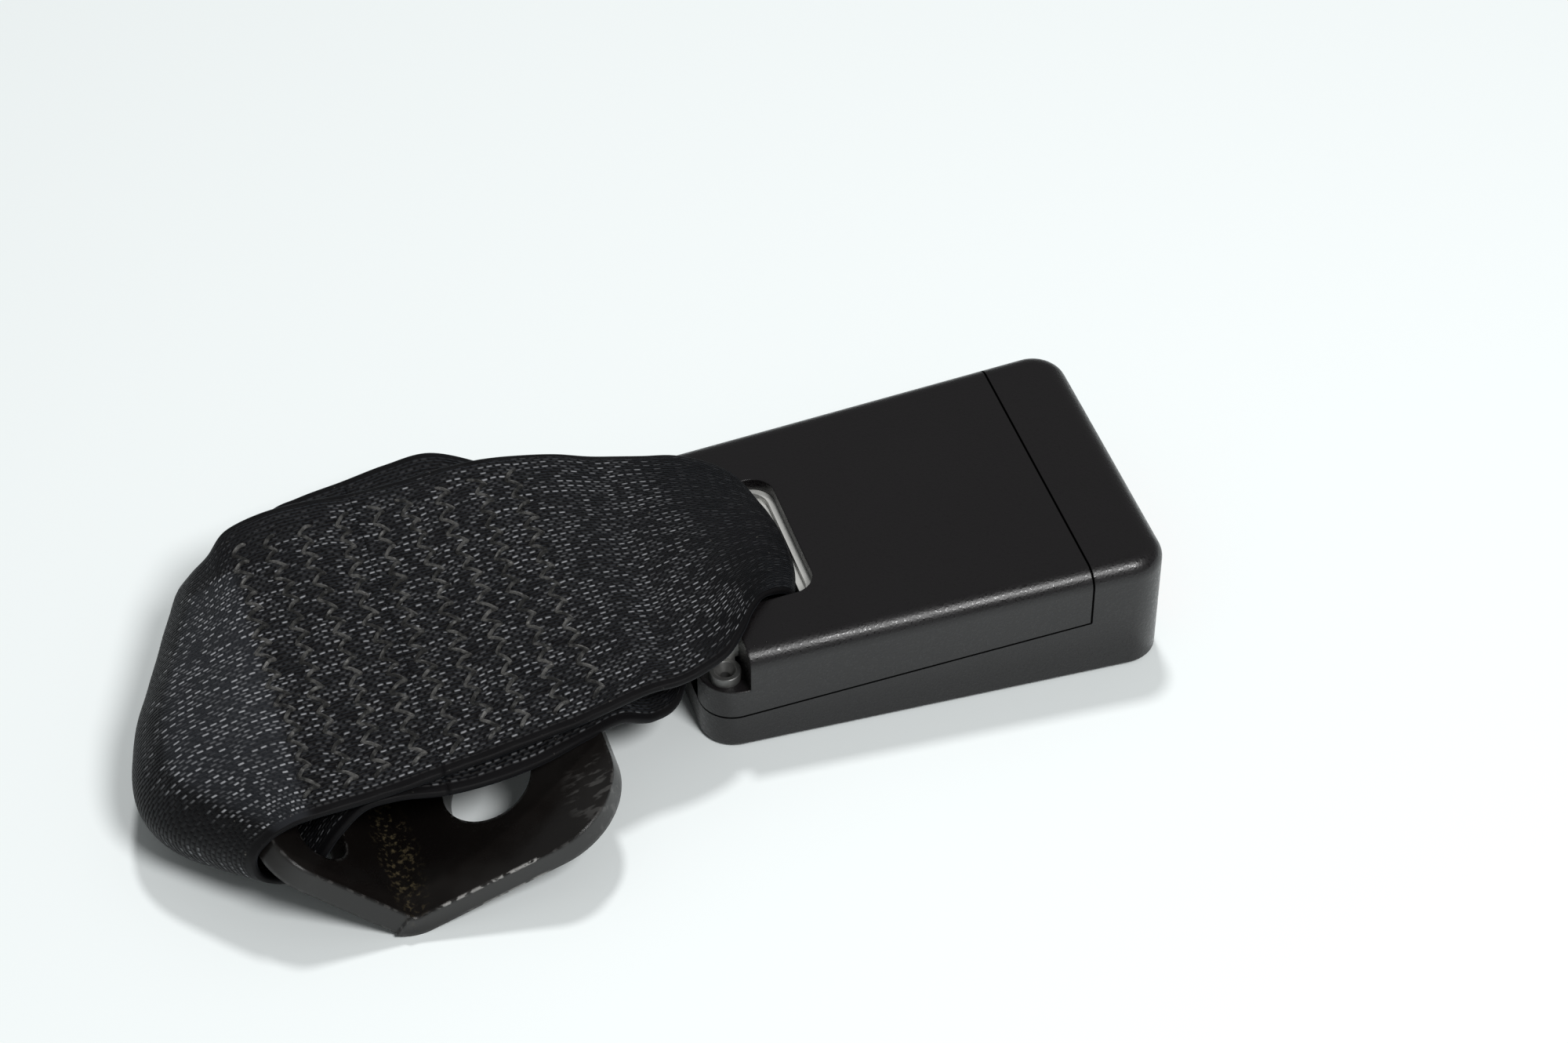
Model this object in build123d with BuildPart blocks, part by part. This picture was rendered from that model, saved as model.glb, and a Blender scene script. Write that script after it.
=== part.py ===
from build123d import *
import os
from math import atan2, cos, radians, sin

# Seat belt buckle on a short webbing loop with its anchor plate. Millimetres.
# X runs from the webbing end to the tongue mouth, Y across the belt, Z up from the surface it lies on.
# The buckle lies on its front, so its button side faces down and its flat back faces up.

# ---------------------------------------------------------------- driving dimensions
# housing: a tapered box with an inclined back
housing_start = 4.5          # x of the webbing end
housing_length = 59.5
housing_axis_y = 2.0         # y of the buckle's centre line
half_width_start = 19.05     # at the webbing end
half_width_end = 21.0        # at the tongue end
height_start = 15.05
height_end = 17.6
wall = 1.7
floor = 1.5
corner_radius = 4.6          # plan corners
back_edge_radius = 2.4       # edges round the back
front_edge_radius = 0.6      # bevel round the button side
cap_length = 10.4            # the front shell's full-height end
parting_start = 5.05         # height of the parting line at the webbing end
parting_end = 9.05           # and where it meets the end cap
# the lower tier of the rear cover, which carries the two rivets
ledge_length = 5.3
ledge_height = 9.7
# window over the webbing slot
window_end = 16.8            # from the housing's start to the window's far edge
window_width = 21.0
window_radius = 3.0
# steel frame: a channel that opens towards the button side
sheet = 2.0                  # frame sheet
doubler = 0.8                # top plate's sheet
frame_inset = 0.7            # housing start to the end of the frame
frame_clearance = 5.15       # from the frame's sides to the housing's, at the webbing end
frame_level = 10.35          # inner face of the frame
ear_level = 5.55             # underside of the riveted ears
ear_radius = 1.9
bar_length = 9.0             # strap bar, from the frame's end to the slot
slot_length = 6.0
slot_width = 21.6
top_opening_end = 16.6       # from the housing's start
wall_start = 20.0            # where the side walls begin, from the housing's start
wall_depth = 9.2             # side walls, below the inner face
# rivets
rivet_inset = 3.0            # from the housing's start
rivet_outset = 2.1           # from the frame's side
rivet_radius = 1.1
rivet_bore = 0.65
rivet_head_radius = 1.95
rivet_head_height = 1.3
rivet_foot_radius = 1.7
rivet_foot_height = 0.8
rivet_recess = 1.1
fit = 0.05                   # radial clearance of a running fit
gap = 0.3                    # clearance between pieces that only pass each other
# tongue channel and mouth
channel_height = 4.6
mouth_lip = 0.7              # the mouth is wider than the frame's bore, each side
guide_sheet = 0.8
# latch
nose_inset = 6.8             # latch nose, back from the frame's far end
latch_pivot_drop = 6.6       # below the frame's inner face
pin_radius = 1.1
clip_sheet = 0.7             # spring clips on the pin's ends
clip_opening = 1.4
latch_reach = 16.5           # pivot to nose
latch_sheet = 1.4
latch_width = 16.0
knuckle_radius = 1.9
tooth_length = 3.2
tooth_width = 9.0
tooth_bite = 2.4             # how far the tooth stands into the channel
lug_radius = 1.0
lug_back = 2.5               # lug centre, back from the nose
lug_window = (4.2, 6.6)      # opening in the frame's walls round each lug
leaf_sheet = 0.4             # the latch's leaf spring
leaf_width = 5.0
leaf_level = 1.0
leaf_tail = 3.0              # behind the pivot
leaf_flat = 4.0              # ahead of the pivot, before it rises
leaf_contact = 3.0           # length that lies against the latch
leaf_short = 3.5             # from the leaf's tip to the latch's nose
# button
button_travel = 5.0
button_overlap = 0.7         # the button is wider than the frame, each side
button_height = 4.6
button_low = 0.1
button_crown = 1.8           # how far the cap stands through the end wall
flange_length = 3.4
arm_sheet = 2.2
arm_height = 5.8
arm_low = 0.4
cam_slot_play = 0.25
arm_past = 3.2               # the slider's arms reach back past the latch lugs
seat_inset = 4.2             # spring rib, back from the frame's far end
seat_thickness = 1.6
slot_drop = 2.45             # how far the cam slots lower the lugs
# ejector
ejector_travel = 7.0
ejector_height = 3.8
ejector_bridge = 3.0
ejector_length = 14.5
ejector_lead = 1.4           # prong tips ahead of the tooth
rod_radius = 0.9
rod_tab = 1.5
rod_past = 0.5               # the rod's end past the ejector's bridge
tab_behind = 0.7             # tab that holds the rod, past the webbing slot
prong_radius = 0.6           # rounding of the prongs' tips
spring_wire = 0.5
ejector_spring_radius = 1.7
button_spring_radius = 1.2
button_spring_side = 7.5
spring_turns = 3
# webbing
webbing_width = 47.5
webbing = 1.3
neck_width = 19.2            # bunched width through the buckle's slot
fold_clearance = 0.6         # from the fold to the slot's far edge
# anchor plate: V-bent strip of plate with a webbing slot and a bolt hole
plate = 3.0
plate_width = 68.0
bend_x = -37.0
bend_inside = 1.5
bolt_arm = 29.3              # bend to edge
bolt_arm_slope = 20.0
strap_arm = 19.0
strap_arm_slope = 37.0
bolt_radius = 5.75
bolt_out = 14.2              # bolt hole centre from the bend
bolt_side = -19.5
anchor_slot = 6.5
anchor_slot_width = 48.5
anchor_slot_side = -2.75     # slot centre, off the plate's centre line
anchor_bar = 4.7
near_taper = 4.8             # how much the strap arm's near side comes in towards its end
far_taper = 13.0
bolt_corner = 10.0
near_corner = 6.5
far_corner = 10.0

# ---------------------------------------------------------------- derived places
housing_end = housing_start + housing_length
step_x = housing_start + ledge_length
cap_x = housing_end - cap_length
tilt = atan2(height_end - height_start, housing_length)
rivet_x = housing_start + rivet_inset
middle = Plane.XZ.offset(-housing_axis_y)
deck = Plane((0, housing_axis_y, 0))

# The mechanism is parallel to the back: u runs along it from the webbing end, w stands on it.
mech = Plane(
    origin=(housing_start, housing_axis_y, 0), x_dir=(cos(tilt), 0, sin(tilt)), z_dir=(-sin(tilt), 0, cos(tilt))
)
side = Plane(origin=mech.origin, x_dir=mech.x_dir, z_dir=(0, -1, 0))
back = frame_level + sheet
channel_floor = frame_level - channel_height
frame_width = 2 * (half_width_start - frame_clearance)
bore_half = frame_width / 2 - sheet
mouth_half = bore_half + mouth_lip
button_half = frame_width / 2 + button_overlap
rivet_spacing = frame_width + 2 * rivet_outset

# Along the mechanism, from the mouth back to the webbing slot.
wall_u = housing_length - wall                        # inner face of the end wall
flange_u = wall_u - gap                               # the button's flange rests here
slider_end = flange_u - flange_length / 2             # joint between button and slider
frame_end = slider_end - flange_length / 2 - button_travel - gap
seat_u = frame_end - seat_inset                       # the rib that the button's springs push against
latch_pivot = frame_end - nose_inset - latch_reach
lug_u = latch_pivot + latch_reach - lug_back
slot_end = frame_inset + bar_length + slot_length
tab_u = slot_end + tab_behind


def housing_block(inset, base):
    """The housing's outer form, or its cavity when inset by the wall."""
    start, end = housing_start + inset, housing_end - inset
    near, far = half_width_start - inset, half_width_end - inset
    with BuildSketch(deck.offset(base)) as plan:
        with BuildLine():
            Polyline((start, -near), (end, -far), (end, far), (start, near), close=True)
        make_face()
        fillet(plan.vertices(), corner_radius - inset)
    extrude(plan.sketch, amount=2 * height_end)
    roof = Plane(mech.origin + mech.z_dir * (height_start - inset), x_dir=mech.x_dir, z_dir=mech.z_dir)
    split(bisect_by=roof, keep=Keep.BOTTOM)


def box_cut(x0, x1, half, z0, z1, mode=Mode.SUBTRACT):
    """A block across the centre line, from x0 to x1 and z0 to z1, half wide to each side."""
    with BuildSketch(deck.offset(z0)) as outline:
        with Locations(((x0 + x1) / 2, 0)):
            Rectangle(x1 - x0, 2 * half)
    extrude(outline.sketch, amount=z1 - z0, mode=mode)


def slab(u0, u1, half, w0, w1, mode=Mode.ADD):
    """The same, square to the mechanism."""
    with BuildSketch(mech.offset(w0)) as outline:
        with Locations(((u0 + u1) / 2, 0)):
            Rectangle(u1 - u0, 2 * half)
    extrude(outline.sketch, amount=w1 - w0, mode=mode)


def lugs(z0, z1, play, mode=Mode.ADD):
    """The pair of round-ended lugs about the rivets, wider all round by play."""
    with BuildSketch(deck.offset(z0)) as outline:
        for sign in (-1, 1):
            with Locations((rivet_x, sign * rivet_spacing / 2)):
                Circle(ear_radius + play)
            with Locations((rivet_x, sign * (frame_width / 2 + rivet_spacing / 2) / 2)):
                Rectangle(2 * (ear_radius + play), (rivet_spacing - frame_width) / 2 + 2 * play)
    extrude(outline.sketch, amount=z1 - z0, mode=mode)


def above_parting(mode):
    """Everything above the parting line and short of the end cap."""
    with BuildSketch(Plane.XZ) as region:
        with BuildLine():
            Polyline(
                (0, parting_start - housing_start * (parting_end - parting_start) / (cap_x - housing_start)),
                (cap_x, parting_end),
                (cap_x, 2 * height_end),
                (0, 2 * height_end),
                close=True,
            )
        make_face()
    extrude(region.sketch, amount=2 * half_width_end, both=True, mode=mode)


with BuildPart() as housing_form:
    housing_block(0, 0)
    fillet(housing_form.faces().sort_by(Axis.Z)[-1].edges(), back_edge_radius)
    chamfer(housing_form.faces().sort_by(Axis.Z)[0].edges(), front_edge_radius)

with BuildPart() as housing_cavity:
    housing_block(wall, floor)

# ---------------------------------------------------------------- housing
button_top = button_low + button_height

with BuildPart() as front_shell:
    add(housing_form.part)
    add(housing_cavity.part, mode=Mode.SUBTRACT)
    above_parting(Mode.SUBTRACT)
    # mouth for the tongue, flared at its lips, and the button's opening below it
    slab(wall_u - 1, housing_length + 2, mouth_half, channel_floor - 0.2, frame_level + 0.2, Mode.SUBTRACT)
    slab(wall_u - 1, housing_length + 2, button_half + gap, button_low - 0.2, button_top + 0.2, Mode.SUBTRACT)
    # bosses under the rivets
    lugs(floor / 2, ear_level, 0)
    with Locations((rivet_x, housing_axis_y, ear_level)), GridLocations(0, rivet_spacing, 1, 2):
        Hole(rivet_radius + fit)
    with Locations((rivet_x, housing_axis_y, 0)), GridLocations(0, rivet_spacing, 1, 2):
        Cylinder(rivet_foot_radius + fit, 2 * rivet_recess, mode=Mode.SUBTRACT)
    # rib behind the button's springs
    with BuildSketch(Plane.XY.offset(floor - 0.1)):
        with Locations((housing_start + seat_u, housing_axis_y)):
            Rectangle(seat_thickness, 2 * bore_half - 1)
    extrude(amount=4.2)
front_shell.part.label = "front_shell"

with BuildPart() as cover_cavity:
    add(housing_cavity.part)
    box_cut(housing_start, step_x + wall, half_width_end, ear_level + sheet, 2 * height_end)

with BuildPart() as rear_cover:
    add(housing_form.part)
    add(cover_cavity.part, mode=Mode.SUBTRACT)
    above_parting(Mode.INTERSECT)
    # the lower tier
    box_cut(0, step_x, 2 * half_width_end, ledge_height, 2 * height_end)
    # way through for the frame's end
    slab(-5, ledge_length + wall + 1, frame_width / 2 + 0.2, 0, back + doubler + 0.12, Mode.SUBTRACT)
    lugs(0, ear_level + sheet, 0.1, Mode.SUBTRACT)
    # window: open from the step to its rounded far corners
    with BuildSketch(Plane.XY.offset(ledge_height)) as window:
        with Locations(((step_x + housing_start + window_end) / 2 - 3, housing_axis_y)):
            RectangleRounded(housing_start + window_end - step_x + 6, window_width, window_radius)
    extrude(amount=height_end, mode=Mode.SUBTRACT)
    with Locations((rivet_x, housing_axis_y, ledge_height)), GridLocations(0, rivet_spacing, 1, 2):
        Hole(rivet_radius + fit)
rear_cover.part.label = "rear_cover"

# ---------------------------------------------------------------- frame
with BuildPart() as frame_base:
    slab(frame_inset, frame_end, frame_width / 2, frame_level, back)
    with BuildSketch(mech.offset(back)) as slot:
        with Locations((frame_inset + bar_length + slot_length / 2, 0)):
            RectangleRounded(slot_length, slot_width, 1.8)
    extrude(amount=-sheet, mode=Mode.SUBTRACT)
    # side walls
    for sign in (-1, 1):
        with BuildSketch(mech.offset(frame_level - wall_depth)):
            with Locations(((wall_start + frame_end) / 2, sign * (frame_width - sheet) / 2)):
                Rectangle(frame_end - wall_start, sheet)
        extrude(amount=wall_depth)
        # webs that joggle the frame's end down from the strap bar to its riveted ears
        with BuildSketch(deck.offset(ear_level)):
            with Locations((rivet_x, sign * (frame_width - sheet) / 2)):
                Rectangle(2 * ear_radius, sheet)
        extrude(amount=frame_level - ear_level + sheet / 2)
    lugs(ear_level, ear_level + sheet, 0)
    with Locations((rivet_x, housing_axis_y, ear_level + sheet)), GridLocations(0, rivet_spacing, 1, 2):
        Hole(rivet_radius + fit, depth=sheet)
    # bores for the latch pin and windows for the latch lugs
    with BuildSketch(side):
        with Locations((latch_pivot, frame_level - latch_pivot_drop)):
            Circle(pin_radius)
    extrude(amount=frame_width, both=True, mode=Mode.SUBTRACT)
    with BuildSketch(side):
        with Locations((lug_u, frame_level - latch_pivot_drop - 1.1)):
            Rectangle(*lug_window)
    extrude(amount=frame_width, both=True, mode=Mode.SUBTRACT)
    # tab that anchors the ejector's spring and rod
    slab(tab_u, tab_u + rod_tab, 3.0, channel_floor + 0.4, frame_level)
frame_base.part.label = "frame_base"

with BuildPart() as frame_top_plate:
    slab(frame_inset, frame_end - 3, frame_width / 2 - 0.8, back, back + doubler)
    with BuildSketch(mech.offset(back)):
        with Locations(((frame_inset + bar_length + top_opening_end) / 2, 0)):
            RectangleRounded(top_opening_end - frame_inset - bar_length, window_width - 0.4, window_radius)
    extrude(amount=doubler, mode=Mode.SUBTRACT)
frame_top_plate.part.label = "frame_top_plate"

with BuildPart() as frame_rivets:
    with BuildSketch(Plane.XZ.offset(-housing_axis_y - rivet_spacing / 2)):
        with BuildLine():
            Polyline(
                (rivet_x + rivet_bore, rivet_recess - rivet_foot_height),
                (rivet_x + rivet_foot_radius, rivet_recess - rivet_foot_height),
                (rivet_x + rivet_foot_radius, rivet_recess),
                (rivet_x + rivet_radius, rivet_recess),
                (rivet_x + rivet_radius, ledge_height),
                (rivet_x + rivet_head_radius, ledge_height),
                (rivet_x + rivet_head_radius, ledge_height + rivet_head_height),
                (rivet_x + rivet_head_radius - 0.6, ledge_height + rivet_head_height),
                (rivet_x + rivet_bore, ledge_height + 0.2),
                close=True,
            )
        make_face()
    revolve(axis=Axis((rivet_x, housing_axis_y + rivet_spacing / 2, 0), (0, 0, 1)))
    mirror(about=middle)
frame_rivets.part.label = "frame_rivets"

with BuildPart() as guide_plate:
    slab(latch_pivot + knuckle_radius, frame_end, bore_half, channel_floor - guide_sheet, channel_floor)
    tooth_u = latch_pivot + latch_reach - 1.4
    slab(
        tooth_u - tooth_length - 1.2,
        tooth_u + 1.0,
        tooth_width / 2 + gap,
        channel_floor - guide_sheet,
        channel_floor,
        Mode.SUBTRACT,
    )
guide_plate.part.label = "guide_plate"

with BuildPart() as mouth_guide:
    guide_u = frame_end + 0.2
    slab(guide_u, wall_u, frame_width / 2, channel_floor - 0.9, frame_level + 1.0)
    slab(guide_u, wall_u, mouth_half - 0.6, channel_floor, frame_level, Mode.SUBTRACT)
mouth_guide.part.label = "mouth_guide"

# ---------------------------------------------------------------- latch
pivot_w = frame_level - latch_pivot_drop
latch_top = channel_floor - guide_sheet - 0.2
lug_w = latch_top - latch_sheet / 2 - 0.2

with BuildPart() as latch:
    slab(latch_pivot, latch_pivot + latch_reach, latch_width / 2, latch_top - latch_sheet, latch_top)
    with BuildSketch(side):
        with Locations((latch_pivot, pivot_w)):
            Circle(knuckle_radius)
    extrude(amount=bore_half - gap, both=True)
    # tooth with a ramp for the tongue and an upright locking face
    with BuildSketch(side):
        with BuildLine():
            Polyline(
                (tooth_u - tooth_length, latch_top - 0.2),
                (tooth_u, latch_top - 0.2),
                (tooth_u, channel_floor),
                (tooth_u - tooth_length + 0.9, channel_floor + tooth_bite),
                (tooth_u - tooth_length, channel_floor + tooth_bite),
                close=True,
            )
        make_face()
    extrude(amount=tooth_width / 2, both=True)
    # lugs that ride in the button's cam slots
    with BuildSketch(side):
        with Locations((lug_u, lug_w)):
            Circle(lug_radius)
    extrude(amount=frame_width / 2 + gap + arm_sheet, both=True)
    with BuildSketch(side):
        with Locations((latch_pivot, pivot_w)):
            Circle(pin_radius + fit)
    extrude(amount=frame_width, both=True, mode=Mode.SUBTRACT)
latch.part.label = "latch"

with BuildPart() as latch_pin:
    with BuildSketch(side):
        with Locations((latch_pivot, pivot_w)):
            Circle(pin_radius)
    extrude(amount=frame_width / 2 + 1.2, both=True)
latch_pin.part.label = "latch_pin"

with BuildPart() as pin_clips:
    for sign in (-1, 1):
        with BuildSketch(side.offset(sign * (frame_width / 2 + 0.5) - clip_sheet / 2)):
            with Locations((latch_pivot, pivot_w)):
                Circle(2 * pin_radius)
                Circle(pin_radius, mode=Mode.SUBTRACT)
            with Locations((latch_pivot, pivot_w - 1.5 * pin_radius)):
                Rectangle(clip_opening, 3 * pin_radius, mode=Mode.SUBTRACT)
        extrude(amount=clip_sheet)
pin_clips.part.label = "pin_clips"

leaf_tip = latch_pivot + latch_reach - leaf_short
with BuildPart() as latch_spring:
    with BuildLine(side) as leaf:
        FilletPolyline(
            (latch_pivot - leaf_tail, leaf_level),
            (latch_pivot + leaf_flat, leaf_level),
            (leaf_tip - leaf_contact, latch_top - latch_sheet - leaf_sheet / 2 - fit),
            (leaf_tip, latch_top - latch_sheet - leaf_sheet / 2 - fit),
            radius=2.0,
        )
    with BuildSketch(Plane(leaf.line @ 0, x_dir=(0, 1, 0), z_dir=leaf.line % 0)):
        Rectangle(leaf_width, leaf_sheet)
    sweep(path=leaf.line)
latch_spring.part.label = "latch_spring"

# ---------------------------------------------------------------- button
arm_half = frame_width / 2 + gap
arm_reach = slider_end - lug_u + arm_past
with BuildPart() as release_button:
    # cap, which stands through the end wall, and the flange that keeps it in
    with BuildSketch(Plane(mech.origin + mech.x_dir * flange_u, x_dir=(0, 1, 0), z_dir=mech.x_dir)):
        with Locations((0, (button_low + button_top) / 2)):
            RectangleRounded(2 * button_half, button_height, 1.1)
    extrude(amount=button_crown)
    fillet(release_button.faces().sort_by(Axis.X)[-1].edges(), 0.5)
    slab(flange_u - flange_length / 2, flange_u, arm_half + arm_sheet, button_low, button_top)
release_button.part.label = "release_button"

with BuildPart() as button_slider:
    slab(slider_end - flange_length / 2, slider_end, arm_half + arm_sheet, arm_low, button_top)
    with BuildSketch(side.offset(arm_half)):
        with Locations((slider_end - arm_reach / 2, arm_low + arm_height / 2)):
            RectangleRounded(arm_reach, arm_height, 1.0)
        # cam slot, from the lug at rest to the lug pulled down
        SlotCenterPoint(
            (lug_u + button_travel / 2, lug_w - slot_drop / 2),
            (lug_u, lug_w),
            2 * (lug_radius + cam_slot_play),
            mode=Mode.SUBTRACT,
        )
    extrude(amount=arm_sheet)
    mirror(about=middle)
button_slider.part.label = "button_slider"


def coil(radius, start_u, end_u, at_v, at_w, turns):
    """A compression spring along the mechanism, from start_u to end_u."""
    length = end_u - start_u - spring_wire
    start = mech.origin + mech.x_dir * (start_u + spring_wire / 2) + Vector(0, at_v, 0) + mech.z_dir * at_w
    with BuildLine() as path:
        Helix(pitch=length / turns, height=length, radius=radius, center=start, direction=mech.x_dir)
    with BuildSketch(Plane(path.line @ 0, z_dir=path.line % 0)) as wire:
        Rectangle(spring_wire, spring_wire)
    sweep(wire.sketch, path=path.line, is_frenet=True)


spring_start = seat_u + seat_thickness / 2 + 0.1
spring_end = slider_end - flange_length / 2 - 0.1
spring_w = (button_low + button_top) / 2 - 0.3
with BuildPart() as button_spring_near:
    coil(button_spring_radius, spring_start, spring_end, -button_spring_side, spring_w, spring_turns)
button_spring_near.part.label = "button_spring_near"

with BuildPart() as button_spring_far:
    coil(button_spring_radius, spring_start, spring_end, button_spring_side, spring_w, spring_turns)
button_spring_far.part.label = "button_spring_far"

# ---------------------------------------------------------------- ejector
ejector_tip = tooth_u + ejector_lead
ejector_back = ejector_tip - ejector_length
ejector_low = channel_floor + 0.35
ejector_top = ejector_low + ejector_height
rod_w = (ejector_low + ejector_top) / 2
rod_plane = Plane(mech.origin + mech.z_dir * rod_w, x_dir=(0, 1, 0), z_dir=mech.x_dir)

with BuildPart() as ejector:
    slab(ejector_back, ejector_tip, bore_half - 0.2, ejector_low, ejector_top)
    prong_inside = tooth_width / 2 + 0.6
    slab(ejector_back + ejector_bridge, ejector_tip, prong_inside, ejector_low, ejector_top, Mode.SUBTRACT)
    with BuildSketch(rod_plane.offset(ejector_back)):
        Circle(rod_radius + gap / 2)
    extrude(amount=ejector_bridge, mode=Mode.SUBTRACT)
    for tip in ejector.faces().sort_by(Axis.X)[-2:]:
        fillet(tip.edges(), prong_radius)
ejector.part.label = "ejector"

with BuildPart() as ejector_rod:
    with BuildSketch(rod_plane.offset(tab_u + rod_tab)):
        Circle(rod_radius)
    extrude(amount=ejector_back + ejector_bridge + rod_past - tab_u - rod_tab)
ejector_rod.part.label = "ejector_rod"

with BuildPart() as ejector_spring:
    coil(ejector_spring_radius, tab_u + rod_tab + 0.1, ejector_back - 0.1, 0, rod_w, spring_turns + 1)
ejector_spring.part.label = "ejector_spring"

# ---------------------------------------------------------------- anchor plate
turn = radians(bolt_arm_slope + strap_arm_slope)
bend_radius = bend_inside + plate / 2
lean = radians((bolt_arm_slope - strap_arm_slope) / 2)
bend_z = bend_inside + plate - bend_radius / cos(turn / 2) * cos(lean)
bend = Vector(bend_x, 0, bend_z)
bolt_dir = Vector(cos(radians(bolt_arm_slope)), 0, sin(radians(bolt_arm_slope)))
strap_dir = Vector(-cos(radians(strap_arm_slope)), 0, sin(radians(strap_arm_slope)))
bolt_plane = Plane(bend, x_dir=bolt_dir, z_dir=bolt_dir.cross(Vector(0, 1, 0)))
strap_plane = Plane(bend, x_dir=strap_dir, z_dir=strap_dir.cross(Vector(0, -1, 0)))
anchor_slot_at = strap_arm - anchor_bar - anchor_slot / 2


def trim_arm(arm, reach, near_end, far_end, near_radius, far_radius):
    """Shape an arm of the plate: near_end and far_end are its half widths at the end."""
    near = -1 if arm.y_dir.Y > 0 else 1
    with BuildSketch(arm.offset(-2 * plate)) as waste:
        with Locations((reach / 2 + plate / 2, 0)):
            Rectangle(reach, plate_width + plate)
        with BuildLine():
            outline = FilletPolyline(
                (0, near * plate_width / 2),
                (reach, near * near_end),
                (reach, -near * far_end),
                (0, -near * plate_width / 2),
                radius=(near_radius, far_radius),
            )
            Line(outline @ 1, outline @ 0)
        make_face(mode=Mode.SUBTRACT)
    extrude(waste.sketch, amount=4 * plate, mode=Mode.SUBTRACT)


with BuildPart() as anchor_plate:
    with BuildLine() as bend_line:
        FilletPolyline(bend + bolt_dir * bolt_arm, bend, bend + strap_dir * strap_arm, radius=bend_radius)
    with BuildSketch(Plane(bend_line.line @ 0, x_dir=(0, 1, 0), z_dir=bend_line.line % 0)):
        Rectangle(plate_width, plate)
    sweep(path=bend_line.line)
    half = plate_width / 2
    trim_arm(bolt_plane, bolt_arm, half, half, bolt_corner, bolt_corner)
    trim_arm(strap_plane, strap_arm, half - near_taper, half - far_taper, near_corner, far_corner)
    with BuildSketch(bolt_plane.offset(-plate)) as bolt_hole:
        with Locations((bolt_out, bolt_side)):
            Circle(bolt_radius)
    extrude(bolt_hole.sketch, amount=2 * plate, mode=Mode.SUBTRACT)
    with BuildSketch(strap_plane.offset(-plate)) as strap_hole:
        with Locations((anchor_slot_at, anchor_slot_side * strap_plane.y_dir.Y)):
            SlotOverall(anchor_slot_width, anchor_slot, rotation=90)
    extrude(strap_hole.sketch, amount=2 * plate, mode=Mode.SUBTRACT)
anchor_plate.part.label = "anchor_plate"

# ---------------------------------------------------------------- webbing
# Undersides of the two plies, in X and Z, and each ply's near and far edge along X.
loop_start = -44.0           # where the upper ply passes into the anchor loop
lower_start = -36.0          # and the lower ply
upper_line = [
    (loop_start, 16.1), (lower_start, 14.95), (-24.0, 14.7), (-10.0, 14.7), (-2.0, 14.35), (4.0, 13.8)
]
upper_edges = [
    (loop_start, -26.0, 21.6), (lower_start, -24.7, 23.0), (-25.6, -23.1, 25.2), (-16.7, -21.8, 26.6),
    (-7.4, -19.5, 26.3), (-3.1, -18.2, 25.3), (1.0, -17.4, 23.9), (4.0, -16.7, 22.4),
]
lower_line = [(lower_start, 13.65), (-24.0, 13.4), (-12.0, 13.4), (-6.0, 12.1), (0.0, 10.15), (4.0, 8.85)]
lower_edges = [
    (lower_start, -24.5, 25.5), (-24.0, -20.0, 29.2), (-12.0, -17.5, 27.5), (-5.0, -15.0, 22.0),
    (0.0, -13.0, 16.5), (4.0, -9.6, 13.6),
]
# the anchor loop: at each place across the belt, its furthest reach and its lowest level
loop_sections = [
    (-26.2, -56.2, 6.0), (-21.0, -60.4, 3.2), (-14.0, -64.6, 1.5), (2.0, -62.6, 1.5), (11.0, -59.4, 3.0),
    (20.8, -56.0, 5.8),
]
loop_steps = 26


def flat_ply(line, edges):
    """A ply of webbing that stands on a line of points, between its near and far edges."""
    with BuildSketch(Plane.XZ) as section:
        with BuildLine():
            Polyline(*line, *[(x, z + webbing) for x, z in reversed(line)], close=True)
        make_face()
    extrude(section.sketch, amount=plate_width, both=True)
    with BuildSketch(Plane.XY) as plan:
        with BuildLine():
            near_side = [(x, near) for x, near, far in edges]
            far_side = [(x, far) for x, near, far in edges]
            Polyline(*near_side, *reversed(far_side), close=True)
        make_face()
    extrude(plan.sketch, amount=2 * height_end, mode=Mode.INTERSECT)


with BuildPart() as strap_upper_ply:
    flat_ply(upper_line, upper_edges)
strap_upper_ply.part.label = "strap_upper_ply"

with BuildPart() as strap_lower_ply:
    flat_ply(lower_line, lower_edges)
strap_lower_ply.part.label = "strap_lower_ply"


def loop_section(across, reach, low):
    """The belt's section where it passes through the plate's slot and back over its bar."""
    slot_centre = bend + strap_dir * anchor_slot_at
    through = strap_plane.z_dir
    lower = lower_line[0][1] + webbing / 2
    upper = upper_line[0][1] + webbing / 2
    under = slot_centre.Z - through.Z * 2 * webbing
    with BuildLine() as path:
        FilletPolyline(
            (lower_start, 0, lower),
            slot_centre + through * ((lower - slot_centre.Z) / through.Z),
            slot_centre + through * ((under - slot_centre.Z) / through.Z),
            (reach + 5.0, 0, low),
            (reach + webbing / 2, 0, (low + upper) / 2),
            (reach + 5.0, 0, upper),
            (loop_start, 0, upper),
            radius=(1.2, 1.5, 2.5, 4.0, 4.0),
        )
    sides = ([], [])
    for step in range(loop_steps + 1):
        place = path.line @ (step / loop_steps)
        out = (path.line % (step / loop_steps)).cross(Vector(0, 1, 0)) * webbing / 2
        sides[0].append((place.X + out.X, place.Z + out.Z))
        sides[1].append((place.X - out.X, place.Z - out.Z))
    with BuildSketch(Plane.XZ.offset(-across)) as section:
        with BuildLine():
            Spline(*sides[0])
            Line(sides[0][-1], sides[1][-1])
            Spline(*reversed(sides[1]))
            Line(sides[1][0], sides[0][0])
        make_face()
    return section.sketch


with BuildPart() as strap_anchor_loop:
    loft([loop_section(*place) for place in loop_sections], ruled=True)
strap_anchor_loop.part.label = "strap_anchor_loop"

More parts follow.
